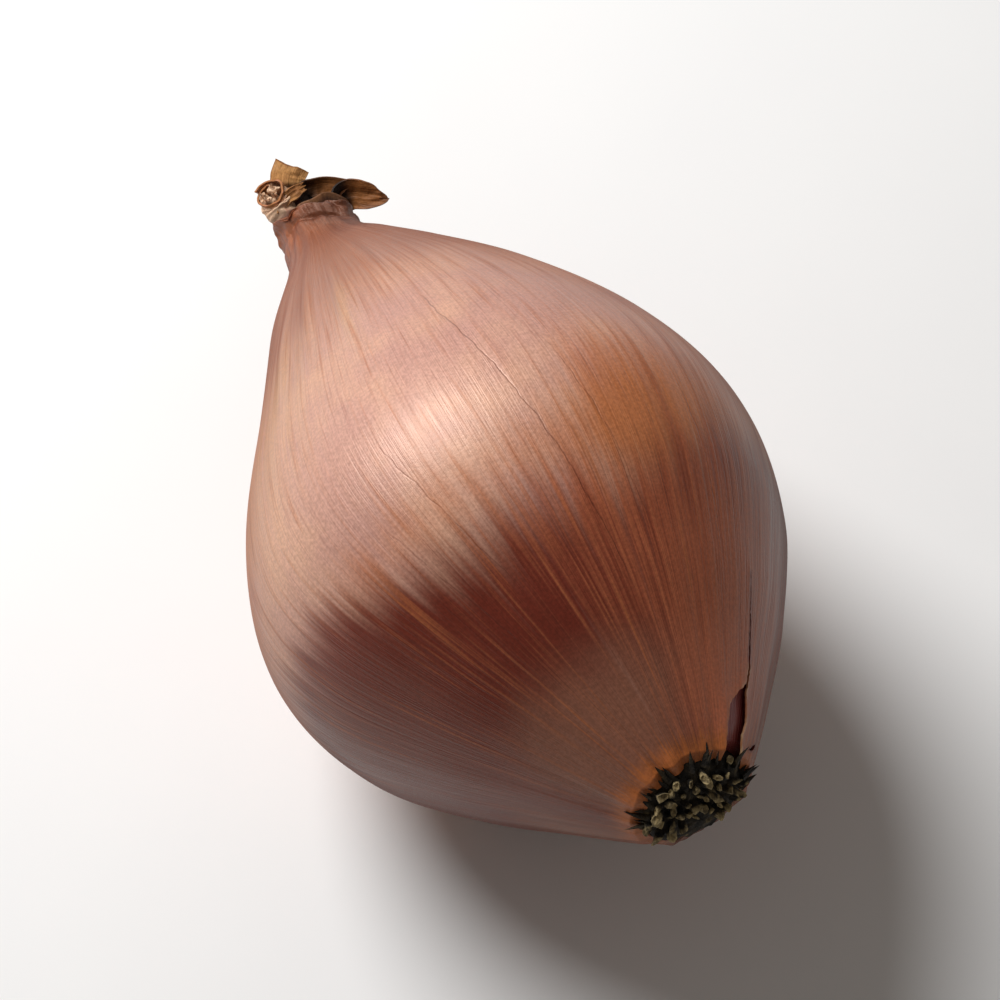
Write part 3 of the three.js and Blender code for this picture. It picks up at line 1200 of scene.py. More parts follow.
    def surface(self) -> Array:
        """The outside of the skin as a grid of points in the bulb's frame, root end first."""
        turn = np.arange(self.columns) * 360 / self.columns
        radius, station, out = self.form.profile(np.linspace(0, 1, self.rows))
        turns = np.tile(turn, (self.rows, 1))
        stations = np.tile(station[:, None], (1, self.columns))
        plain = self.form.ring(radius[:, None], stations, turns)
        wide = fade(stations, 6.5, 4.2)
        lift = (0.03 + 0.05 * wide) * np.exp(-((self.tear.distance(self.form, plain) / 0.5) ** 2))
        height = self.relief(stations, turns) + lift
        rim = 0.22 * fade(stations, 1.2, 0) * soft_noise(turns / 360 * 30, turns * 0, 21, 30)
        low = self.low_side.weight(np.full_like(stations, self.low_side.station), turns)
        low = low * fade(stations, 59, 66.2)
        body = self.form.ring(
            radius[:, None] + height * out[:, None, 0], stations + height * out[:, None, 1] + rim - low, turns
        )
        return np.concatenate([self.lip(body[0], turn), body, self.brim(body[-1], turn)])

    def lip(self, edge: Array, turn: Array) -> Array:
        """The skin's root end where it turns in over the root plate.

        Args:
            edge: The body's first ring of points.
            turn: The points' places around the bulb, in degrees.

        Returns:
            The rings of the lip, inner edge first.
        """
        t = np.linspace(1, 0, self.lip_rows, endpoint=False)[:, None]
        centre = np.array([float(self.form.lean_at(0.0)), 0, 0])
        inwards = unit((centre - edge) * np.array([1, 0, 1]))
        wavy = 1 + 0.22 * soft_noise(turn / 360 * 26, turn * 0, 22, 26)
        reach = self.lip_reach * wavy * np.sin(t * math.pi / 2)
        drop = self.lip_drop * (1 - np.cos(t * math.pi / 2)) + 0.35 * t * (1 - t)
        along = np.array([0, -1, 0])
        return edge + inwards * reach[..., None] + along * (drop + 0 * reach)[..., None]

    def brim(self, edge: Array, turn: Array) -> Array:
        """The crumpled brim that carries the skin on past the form's neck end.

        Args:
            edge: The body's last ring of points.
            turn: The points' places around the bulb, in degrees.

        Returns:
            The rings of the brim, outer edge last.
        """
        rise = (np.arange(1, self.brim_rows + 1) / self.brim_rows)[:, None]
        x = np.tile(turn / 360, (self.brim_rows, 1))
        wave = 0.8 * soft_noise(x * 11, rise * 1.4, 31, 11) + 0.5 * soft_noise(x * 21, rise * 2, 32, 21)
        tall = 1 + 0.9 * soft_noise(x * 10, x * 0, 33, 10) + 0.5 * soft_noise(x * 24, x * 0, 34, 24)
        tall = self.brim_height * tall
        centre = np.array([float(self.form.lean_at(66.0)), 0, 0])
        flat = edge - centre
        out = unit(flat * np.array([1, 0, 1]))
        along = np.array([0, 1, 0])
        shift = rise * (wave - 0.1) - 0.25 * rise**3
        return edge + out * shift[..., None] + along * (tall * np.sin(rise * 1.4))[..., None]

    def build(self, effects: Effects) -> bpy.types.Object:
        """Builds the skin.

        Args:
            effects: The shared node groups.

        Returns:
            The finished piece.
        """
        outer = self.surface()
        normals = grid_normals(outer, True)
        rows = list(range(0, len(outer), self.inner_step))
        if rows[-1] != len(outer) - 1:
            rows.append(len(outer) - 1)
        inner = outer[rows] - normals[rows] * self.wall * outward(outer, normals)
        points = self.form.to_part(outer), self.form.to_part(inner)
        softness, wall = self.rest_softness * MM, self.wall * MM
        for grid, floor in zip(points, (0.0, wall)):
            z = grid[..., 2] - floor
            grid[..., 2] = 0.5 * (z + np.sqrt(z * z + softness * softness)) + floor
        count, columns = outer.shape[0] * self.columns, self.columns
        ring = np.arange(columns)
        faces = np.concatenate(
            [
                grid_faces(len(outer), columns, 0, True, False),
                grid_faces(len(rows), columns, count, True, True),
                bridge(ring, count + ring, True)[:, ::-1],
                bridge(count - columns + ring, count + (len(rows) - 1) * columns + ring, True),
            ]
        )
        made = make_object("dry_skin", np.concatenate([grid.reshape(-1, 3) for grid in points]), faces)
        cutters = [opening.cutter(self.form, 3.0) for opening in (self.tear, self.nick)]
        for cutter in cutters:
            cut = made.modifiers.new("cut", "BOOLEAN")
            cut.operation, cut.solver, cut.object = "DIFFERENCE", "MANIFOLD", cutter
        finish_modifiers(made)
        remove_objects(*cutters)
        self.mark(made.data)
        made.data.set_sharp_from_angle(angle=math.radians(50))
        made.data.materials.clear()
        made.data.materials.append(self.finish.build(effects))
        return attach(made, Slot.SKIN, "outer_skin")

    def mark(self, mesh: bpy.types.Mesh) -> None:
        """Stores where each point lies on the bulb, which tones the skin has there and where shade or
        highlight is painted on it.

        Args:
            mesh: The skin's mesh.
        """
        local = self.form.to_bulb(vertices_of(mesh))
        station, turn = self.form.station_and_turn(local)
        angle = np.radians(turn)
        add_attribute(mesh, "fibre", np.stack([np.cos(angle), np.sin(angle), station], -1))
        add_attribute(mesh, "turn", turn)
        add_attribute(mesh, "station", station)
        edge = np.asarray(self.stain_and_shade_edge, float)
        limit = np.interp(turn, edge[:, 0], edge[:, 1], period=360)
        limit = limit + 1.5 * soft_noise((turn / 360 % 1) * 16, station / 9, 81, 16)
        areas = {
            "stain": self.stains,
            "warm": self.warms,
            "copper": self.coppers,
            "pale": self.pales_and_ridge_highlights,
            "dusk": self.painted_shades,
            "flush": self.flushes,
        }
        for name, patches in areas.items():
            amount = sum(patch.weight(station, turn) for patch in patches)
            # Below the band's edge the skin is partly real maroon, partly painted shade.
            if name == "stain":
                amount = amount + fade(station, limit + self.stain_and_shade_fade, limit - self.stain_and_shade_fade)
            add_attribute(mesh, name, np.clip(amount, 0, 1))
        add_attribute(mesh, "neck", fade(station, 37, 55))
        add_attribute(mesh, "collar", fade(station, 56, 65))
        bare = sum(patch.weight(station, turn) for patch in self.bare_and_shaded_feet)
        add_attribute(mesh, "foot", fade(station, 11, 4) * np.clip(1 - bare, 0, 1))
        add_attribute(mesh, "ring", fade(station, 2.0, -0.4))
        near, notch = self.tear.distance(self.form, local), self.nick.distance(self.form, local)
        far_side = fade(turn, 52.5, 56.5)
        close = np.exp(-((near / 0.15) ** 2))
        ragged = 0.5 + 0.5 * soft_noise(station * 2.2 + 30, turn * 0, 82)
        add_attribute(mesh, "fray", close * (0.05 + 0.9 * far_side * ragged) * fade(station, 5.4, 4.6))
        # Painted shade: dark beside the tear's narrow slit and round the nick.
        dark = np.exp(-((near / 0.12) ** 2)) * fade(station, 4.6, 5.6) + np.exp(-((notch / 0.14) ** 2))
        add_attribute(mesh, "slit", np.clip(dark, 0, 1))


# ---- Fleshy bulb ----


@dataclass
class FleshyBulb:
    """The glossy fleshy bulb that shows through the tear."""

    form: BulbForm
    finish: FleshFinish
    columns: int = 144
    rows: int = 90
    inset: float = 0.3
    first: float = 0.6
    last: float = 62.4

    def build(self, effects: Effects) -> bpy.types.Object:
        """Builds the bulb, closed at both ends.

        Args:
            effects: The shared node groups.

        Returns:
            The finished piece.
        """
        t = np.linspace(0, 1, 2000)
        _, stations, _ = self.form.profile(t)
        first, last = np.interp([self.first, self.last], stations, t)
        radius, station, out = self.form.profile(np.linspace(first, last, self.rows))
        inset = self.inset + 0.55 * fade(station, 50, 62)
        turn = np.arange(self.columns) * 360 / self.columns
        turns = np.tile(turn, (self.rows, 1))
        uneven = 0.05 * soft_noise(turns / 360 * 40, station[:, None] / 15 + turns * 0, 41, 40)
        r = (radius - inset * out[:, 0])[:, None] + uneven
        grid = self.form.ring(r, np.tile((station - inset * out[:, 1])[:, None], (1, self.columns)), turns)
        poles = np.stack([grid[0].mean(axis=0), grid[-1].mean(axis=0)])
        points = self.form.to_part(np.vstack([grid.reshape(-1, 3), poles]))
        lowest = (self.inset + 0.05) * MM
        z = points[:, 2] - lowest
        points[:, 2] = 0.5 * (z + np.sqrt(z * z + (0.1 * MM) ** 2)) + lowest
        count = self.rows * self.columns
        ring = np.arange(self.columns)
        faces = [list(f) for f in grid_faces(self.rows, self.columns, 0, True, False)]
        for j in range(self.columns):
            k = (j + 1) % self.columns
            faces.append([count, ring[k], ring[j]])
            faces.append([count + 1, count - self.columns + j, count - self.columns + k])
        made = make_object("fleshy_bulb", points, faces)
        local = self.form.to_bulb(points)
        station, turn = self.form.station_and_turn(local)
        angle = np.radians(turn)
        add_attribute(made.data, "fibre", np.stack([np.cos(angle), np.sin(angle), station], -1))
        made.data.materials.append(self.finish.build(effects))
        return attach(made, Slot.FLESH, "bulb")


# ---- Root plate ----


def evaluate_tree(carrier: bpy.types.Object, tree: Tree, **inputs) -> bpy.types.Object:
    """Runs a geometry node tree on a carrier and keeps the result as its mesh.

    Args:
        carrier: The object that the tree starts from.
        tree: The geometry node tree.
        inputs: Values of the tree's inputs by name, spaces as underscores.

    Returns:
        The carrier, now a plain mesh.
    """
    modifier = carrier.modifiers.new("nodes", "NODES")
    modifier.node_group = tree
    for socket in tree.interface.items_tree:
        key = socket.name.replace(" ", "_")
        if socket.in_out == "INPUT" and key in inputs:
            modifier[socket.identifier] = inputs[key]
    return finish_modifiers(carrier)


def templates(name: str, shapes: list[tuple[Array, Array, Array, Array]]) -> bpy.types.Collection:
    """Puts a few small shapes in a collection, for a tree to pick from.

    Args:
        name: Name of the collection.
        shapes: Points in metres, faces, and the values of tip and core for each shape.

    Returns:
        The collection, outside the scene.
    """
    collection = bpy.data.collections.new(name)
    for i, (points, faces, tip, core) in enumerate(shapes):
        made = make_object(f"{name}_{i}", points, faces, collection=False)
        add_attribute(made.data, "tip", tip)
        add_attribute(made.data, "core", core)
        collection.objects.link(made)
    return collection


def clear_templates(collection: bpy.types.Collection) -> None:
    """Removes a collection of templates and its objects."""
    remove_objects(*collection.objects)
    bpy.data.collections.remove(collection)


@dataclass
class RootPlate:
    """The corky plate with the stubs of clipped roots, and dry spikes round it."""

    form: BulbForm
    finish: CorkFinish
    radius: float = 4.3
    back: float = 1.2
    crown: float = -0.95
    edge: float = -0.1
    dimple: float = -0.7
    stub_spacing: float = 0.74
    stub_radius: float = 0.37
    stub_length: float = 0.75
    splay: float = 0.6
    bare_below: float = -1.4
    spike_count: int = 44
    spikes_above: float = -0.2
    seed: int = 8

    @property
    def centre(self) -> Array:
        """Middle of the plate in the bulb's frame."""
        return np.array([float(self.form.lean_at(0.0)), 0, 0])

    def crown_at(self, radius: Array) -> Array:
        """Station of the plate's face at a radius."""
        radii = (0, 1.4, 2.9, 3.8, self.radius)
        return np.interp(radius, radii, (self.dimple, self.crown, self.crown + 0.05, -0.6, self.edge))

    def disc(self, reach: float, rows: int, columns: int, lift: float, lumps: float) -> tuple[Array, Array]:
        """The plate's face as a grid from the middle out.

        Args:
            reach: Outer radius.
            rows: Rings of points.
            columns: Points in a ring.
            lift: How far it is raised outwards.
            lumps: Height of its lumps.

        Returns:
            Points in the bulb's frame and faces.
        """
        radius = np.linspace(0.02, reach, rows)[:, None] + np.zeros(columns)
        turn = np.tile(np.arange(columns) * 360 / columns, (rows, 1))
        x, z = radius * np.sin(np.radians(turn)), radius * np.cos(np.radians(turn))
        rough = soft_noise(x * 1.6 + 40, z * 1.6 + 40, 51) + 0.6 * soft_noise(x * 4 + 60, z * 4 + 60, 52)
        rough = lumps * rough
        station = self.crown_at(radius) - lift + rough
        return np.stack([x + self.centre[0], station, z], -1), grid_faces(rows, columns, 0, True, False)

    def body(self) -> bpy.types.Object:
        """The plate itself, closed at the back."""
        rows, columns = 40, 120
        face, faces = self.disc(self.radius, rows, columns, 0, 0.13)
        back = face[-1] + np.array([0, self.back - self.edge, 0])
        points = np.vstack([face.reshape(-1, 3), back, face[0].mean(axis=0)[None], back.mean(axis=0)[None]])
        last, ring = rows * columns, np.arange(columns)
        after = (ring + 1) % columns
        faces = [list(f) for f in faces]
        faces += [list(f) for f in bridge((rows - 1) * columns + ring, last + ring, True)]
        faces += [[last + columns, k, j] for j, k in zip(ring, after)]
        faces += [[last + columns + 1, last + j, last + k] for j, k in zip(ring, after)]
        made = make_object("root_plate_cork", self.form.to_part(points), faces)
        for name in ("tip", "core"):
            add_attribute(made.data, name, np.zeros(len(points)))
        return made

    def stub_shapes(self) -> list[tuple[Array, Array, Array, Array]]:
        """A few clipped roots, which stand on their feet and point up Z."""
        rng = np.random.default_rng(self.seed)
        sides, heights = 8, (-0.35, 0.25, 0.62, 0.88, 1.0)
        widths = (1.15, 1.05, 0.95, 1.0, 0.84)
        shapes = []
        for _ in range(5):
            squash, bend = rng.uniform(0.72, 1.0), rng.uniform(-0.2, 0.2, 2)
            slope = rng.uniform(-0.5, 0.5, 2)
            angle = np.arange(sides) * 2 * math.pi / sides
            rough = rng.uniform(0.7, 1.2, sides)
            rings = []
            for height, width in zip(heights, widths):
                r = self.stub_radius * width * rough * rng.uniform(0.94, 1.06, sides)
                x, y = r * np.cos(angle), r * np.sin(angle) * squash
                z = self.stub_length * height + (x * slope[0] + y * slope[1]) * max(height, 0) * 2
                bent = max(height, 0) ** 2
                rings.append(np.column_stack([x + bend[0] * bent, y + bend[1] * bent, z]))
            inner = rings[-1] * np.array([0.55, 0.55, 1]) + np.array([0.45, 0.45, 0]) * rings[-1].mean(axis=0)
            inner[:, 2] -= 0.1 * self.stub_length
            rings.append(inner)
            points = np.vstack(rings + [inner.mean(axis=0)[None] - np.array([0, 0, 0.03])]) * MM
            faces = [list(f) for f in grid_faces(len(rings), sides, 0, True, False)]
            top, last = len(points) - 1, (len(rings) - 1) * sides
            faces += [[last + j, last + (j + 1) % sides, top] for j in range(sides)]
            faces.append(list(range(sides))[::-1])
            tip = np.concatenate([np.repeat([0, 0.1, 0.6, 1.0, 1.0, 0.95], sides), [0.9]])
            core = np.concatenate([np.zeros(5 * sides), np.full(sides, 0.1), [0.8]])
            shapes.append((points, faces, tip, core))
        return shapes

    def spike_shapes(self) -> list[tuple[Array, Array, Array, Array]]:
        """A few pointed dry spikes, which point up Z and bend towards Y."""
        rng = np.random.default_rng(self.seed + 1)
        sides, steps = 5, 6
        shapes = []
        for _ in range(4):
            t = np.linspace(0, 1, steps)
            width = 0.28 * (1 - t**1.4) * rng.uniform(0.75, 1.1) + 0.012
            side, curve = rng.uniform(-0.25, 0.25), rng.uniform(-0.05, 0.3)
            angle = np.arange(sides) * 2 * math.pi / sides
            x = width[:, None] * np.cos(angle) + side * t[:, None] ** 2
            y = 0.6 * width[:, None] * np.sin(angle) + curve * t[:, None] ** 2
            z = np.tile(t[:, None] * 1.5 - 0.2, (1, sides))
            points = np.stack([x, y, z], -1).reshape(-1, 3)
            faces = [list(f) for f in grid_faces(steps, sides, 0, True, False)]
            faces += [list(range(sides))[::-1], list(range((steps - 1) * sides, steps * sides))]
            shapes.append((points * MM, faces, np.zeros(len(points)), np.zeros(len(points))))
        return shapes

    @staticmethod
    def scatter_tree() -> Tree:
        """Tree that stands templates on a surface, splayed out from a middle point."""
        n, inside, outside = start_group(
            "root stubs",
            "GeometryNodeTree",
            {
                "Geometry": "NodeSocketGeometry",
                "Shapes": "NodeSocketCollection",
                "Spacing": FLOAT,
                "Splay": FLOAT,
                "Middle": VECTOR,
                "Smallest": FLOAT,
                "Largest": FLOAT,
                "Finish": "NodeSocketMaterial",
                "Seed": "NodeSocketInt",
            },
            {"Geometry": "NodeSocketGeometry"},
        )
        pins = inside.outputs
        inputs = {
            "Mesh": pins["Geometry"],
            "Distance Min": pins["Spacing"],
            "Density Max": 9e6,
            "Seed": pins["Seed"],
        }
        spread = n.add("GeometryNodeDistributePointsOnFaces", inputs, distribute_method="POISSON")
        away = n.vector("SUBTRACT", n.add("GeometryNodeInputPosition").outputs[0], pins["Middle"])
        splayed = n.scaled(away, n.math("MULTIPLY", pins["Splay"], 1 / (4 * MM)))
        way = n.vector("ADD", spread.outputs["Normal"], splayed)
        way = n.vector("ADD", way, n.jitter((-0.3, -0.3, -0.3), (0.3, 0.3, 0.3), pins["Seed"]))
        n.feed(outside.inputs[0], place_shapes(n, spread.outputs["Points"], pins, way, 0.0))
        return n.tree

    @staticmethod
    def spike_tree() -> Tree:
        """Tree that lays templates at points, along each point's own way."""
        n, inside, outside = start_group(
            "root spikes",
            "GeometryNodeTree",
            {
                "Geometry": "NodeSocketGeometry",
                "Shapes": "NodeSocketCollection",
                "Smallest": FLOAT,
                "Largest": FLOAT,
                "Finish": "NodeSocketMaterial",
                "Seed": "NodeSocketInt",
            },
            {"Geometry": "NodeSocketGeometry"},
        )
        pins = inside.outputs
        way = n.add("GeometryNodeInputNamedAttribute", {"Name": "way"}, data_type="FLOAT_VECTOR").outputs[0]
        way = n.vector("ADD", way, n.jitter((-0.22, -0.22, -0.22), (0.22, 0.22, 0.22), pins["Seed"]))
        n.feed(outside.inputs[0], place_shapes(n, pins["Geometry"], pins, way, 0.35))
        return n.tree

    def build(self, effects: Effects) -> list[bpy.types.Object]:
        """Builds the plate, its stubs and its spikes.

        Args:
            effects: The shared node groups.

        Returns:
            The finished pieces.
        """
        material = self.finish.build(effects)
        body = self.body()
        body.data.materials.append(material)
        ground, faces = self.disc(3.75, 14, 48, 0.02, 0.0)
        ground = ground.reshape(-1, 3)
        faces = faces[ground[faces, 2].mean(axis=1) > self.bare_below]
        carrier = make_object("root_stubs", self.form.to_part(ground), faces)
        shapes = templates("stub", self.stub_shapes())
        evaluate_tree(
            carrier,
            self.scatter_tree(),
            Shapes=shapes,
            Spacing=self.stub_spacing * MM,
            Splay=self.splay,
            Middle=tuple(self.form.to_part(self.centre)),
            Smallest=0.6,
            Largest=1.25,
            Finish=material,
            Seed=self.seed,
        )
        clear_templates(shapes)
        rng = np.random.default_rng(self.seed + 2)
        uneven = rng.uniform(-0.5, 0.5, self.spike_count)
        turn = (np.arange(self.spike_count) + uneven) * 360 / self.spike_count
        turn = turn[np.cos(np.radians(turn)) > self.spikes_above]
        count = len(turn)
        radius = rng.uniform(3.7, 4.3, count)
        feet = self.form.ring(radius, np.interp(radius, (3.7, 4.3), (-0.75, -0.42)), turn)
        ahead = self.form.ring(radius + 1.0, feet[:, 1] + rng.uniform(0.25, 0.9, count), turn)
        spikes = make_object("root_spikes", self.form.to_part(feet), [])
        add_attribute(spikes.data, "way", (ahead - feet) @ self.form.axes)
        shapes = templates("spike", self.spike_shapes())
        evaluate_tree(
            spikes,
            self.spike_tree(),
            Shapes=shapes,
            Smallest=0.5,
            Largest=1.4,
            Finish=material,
            Seed=self.seed + 3,
        )
        clear_templates(shapes)
        foot = self.form.ring(np.array([4.05]), np.array([-0.2]), np.array([54.0]))
        lone = make_object("tear_stub", self.form.to_part(foot), [])
        add_attribute(lone.data, "way", np.array([[0.1, -0.5, 0.85]]) @ self.form.axes)
        shapes = templates("lone", self.stub_shapes())
        evaluate_tree(
            lone, self.spike_tree(), Shapes=shapes, Smallest=0.95, Largest=1.0, Finish=material, Seed=3
        )
        clear_templates(shapes)
        for made in (carrier, spikes, lone):
            made.data.shade_smooth()
            made.data.set_sharp_from_angle(angle=math.radians(60))
        pieces = [attach(body, Slot.CORK, "root_plate")]
        return pieces + [attach(made, Slot.CORK) for made in (carrier, spikes, lone)]


def place_shapes(
    n: Nodes, points: Socket, pins: bpy.types.NodeOutputs, way: Socket, spin: float
) -> Socket:
    """Instances picked templates on points, realized and given their material.

    Args:
        n: The tree's nodes.
        points: The points.
        pins: The tree's input sockets.
        way: The direction that a template's Z takes.
        spin: Largest turn about it as a share of a half turn; 0 for any turn.

    Returns:
        The geometry.
    """
    most = math.pi * (spin or 1.0)
    about = n.jitter((0.0, 0.0, -most), (0.0, 0.0, most), 77)
    base = n.add("FunctionNodeEulerToRotation", {0: about})
    aim = {"Rotation": base.outputs[0], "Vector": way}
    turned = n.add("FunctionNodeAlignRotationToVector", aim, axis="Z")
    sizes = {"Min": pins["Smallest"], "Max": pins["Largest"], "Seed": 12}
    size = n.add("FunctionNodeRandomValue", sizes, data_type="FLOAT")
    kind = n.add("FunctionNodeRandomValue", {"Min": 0, "Max": 9, "Seed": 31}, data_type="INT")
    shapes = n.add(
        "GeometryNodeCollectionInfo",
        {"Collection": pins["Shapes"], "Separate Children": True, "Reset Children": True},
    )
    placed = n.add(
        "GeometryNodeInstanceOnPoints",
        {
            "Points": points,
            "Instance": shapes.outputs[0],
            "Pick Instance": True,
            "Instance Index": n.output(kind, "Value"),
            "Rotation": turned.outputs[0],
            "Scale": n.output(size, "Value"),
        },
    )
    real = n.add("GeometryNodeRealizeInstances", {"Geometry": placed.outputs[0]})
    finished = {"Geometry": real.outputs[0], "Material": pins["Finish"]}
    return n.add("GeometryNodeSetMaterial", finished).outputs[0]


# ---- Dry leaf ends ----


@dataclass(frozen=True)
class Blade:
    """One dry blade: a path in the tuft's frame, how it spreads and how it curls.

    The blade's edge runs from -1 to 1 and its length from 0, in the neck, to 1 at the tip. A blade with
    growth is a scroll round its path, wider towards one edge; any other lies along its path.
    """

    path: tuple[tuple[float, float, float], ...]
    across: tuple[tuple[float, float, float], tuple[float, float, float]]
    half_widths: tuple[float, ...]
    wrap_deg: tuple[float, float]
    growth: float = 0
    thickness: float = 0.16
    steps: tuple[int, int] = (56, 44)
    crumple: float = 0.12
    cell: float = 1.1
    folds: float = 0
    fold_depth: float = 0
    tip: float = 1.0
    # Painted shade deep in the neck: full up to the first place along the blade, gone by the second.
    deep: tuple[float, float] = (0.25, 0.7)
    rim: tuple[float, float] = (0.6, 1.0)
    shade: float = 0.0
    inside: float = 0.0
    ragged: float = 0.05
    seed: int = 1

    def mesh(self) -> tuple[Array, Array, dict[str, Array]]:
        """The blade's closed thin shell.

        Returns:
            Points in the tuft's frame, faces, and the values of fibre, rim and deep, the painted shade deep
            in the neck.
        """
        rows, columns = self.steps
        t = np.tile(np.linspace(0, 1, rows)[:, None], (1, columns))
        edge = np.tile(np.linspace(-1, 1, columns), (rows, 1))
        torn = 1 + soft_noise(edge * 3 + 20, t * 0 + self.seed, self.seed + 60)
        reach = t - self.ragged * torn * fade(t, 0.7, 1)
        centre = leaf_path(self.path, reach)
        ahead, behind = (leaf_path(self.path, np.clip(reach + step, 0, 1)) for step in (0.01, -0.01))
        forward = unit(ahead - behind)
        first, last = (unit(np.asarray(way, float)) for way in self.across)
        spread = first + (last - first) * reach[..., None]
        spread = unit(spread - forward * np.sum(spread * forward, -1, keepdims=True))
        face = np.cross(spread, forward)
        past = (t - self.tip) / max(1 - self.tip, 1e-6)
        taper = np.where(t > self.tip, np.sqrt(np.clip(1 - past**2, 0.0009, 1)), 1)
        half = spread_values(self.half_widths, t) * taper
        wrap = np.radians(self.wrap_deg[0] + (self.wrap_deg[1] - self.wrap_deg[0]) * t)
        radius = 2 * half / wrap
        angle = edge * wrap / 2
        length = float(np.sum(np.linalg.norm(np.diff(np.asarray(self.path), axis=0), axis=1)))
        across_mm, along_mm = edge * half, t * length
        x, y = across_mm / self.cell, along_mm / self.cell
        rough = soft_noise(x + 30, y + 30, self.seed)
        rough = rough + 0.5 * soft_noise(x * 2.3 + 60, y * 2.3 + 60, self.seed + 1)
        sway = 1.2 * soft_noise(t * 3 + 9, t * 0 + 4, self.seed + 2)
        folded = self.fold_depth * np.sin(edge * math.pi * self.folds + sway)
        height = (self.crumple * rough + folded) * fade(t, 0, 0.2)
        keep = 0 if self.growth > 0 else 1
        sheets = []
        for side in (0.5, -0.5):
            shell = radius * (1 + self.growth * edge) + height + side * self.thickness
            across_way = spread * (shell * np.sin(angle))[..., None]
            sheets.append(centre + across_way + face * (shell * np.cos(angle) - keep * radius)[..., None])
        count = rows * columns
        outline = np.concatenate(
            [
                np.arange(columns),
                np.arange(1, rows) * columns + columns - 1,
                (rows - 1) * columns + np.arange(columns - 2, -1, -1),
                np.arange(rows - 2, 0, -1) * columns,
            ]
        )
        faces = np.concatenate(
            [
                grid_faces(rows, columns, 0, False, False),
                grid_faces(rows, columns, count, False, True),
                bridge(outline + count, outline, True),
            ]
        )
        points = np.concatenate([sheet.reshape(-1, 3) for sheet in sheets])

        def both(values: Array) -> Array:
            """Values of one sheet given to both sheets."""
            return np.tile(values.ravel(), 2)

        rim = np.maximum(np.abs(edge), fade(t, 0.8, 1.0))
        shaded = self.shade + np.repeat([0, self.inside], count)
        values = {
            "fibre": np.stack([both(across_mm), np.repeat([0.0, 0.4], count), both(along_mm)], -1),
            "rim": np.clip(both(fade(rim, *self.rim)) + shaded, 0, 1),
            "deep": both(fade(t, self.deep[1], self.deep[0])),
        }
        return points, faces, values


@dataclass
class DryLeafEnd:
    """A dry leaf end of the neck: one or more blades in one piece."""

    form: BulbForm
    name: str
    node: str
    slot: Slot
    finish: LeafFinish
    blades: tuple[Blade, ...]

    def build(self, effects: Effects) -> bpy.types.Object:
        """Builds the piece from its blades.

        Args:
            effects: The shared node groups.

        Returns:
            The finished piece.
        """
        points, faces, values, start = [], [], {}, 0
        for blade in self.blades:
            own_points, own_faces, own_values = blade.mesh()
            points.append(own_points)
            faces.append(own_faces + start)
            start += len(own_points)
            for key, value in own_values.items():
                values.setdefault(key, []).append(value)
        placed = self.form.to_part(self.form.tuft_to_bulb(np.concatenate(points)))
        made = make_object(self.name, placed, np.concatenate(faces))
        for key, value in values.items():
            add_attribute(made.data, key, np.concatenate(value))
        made.data.set_sharp_from_angle(angle=math.radians(55))
        made.data.materials.append(self.finish.build(effects))
        return attach(made, self.slot, *([self.node] if self.node else []))


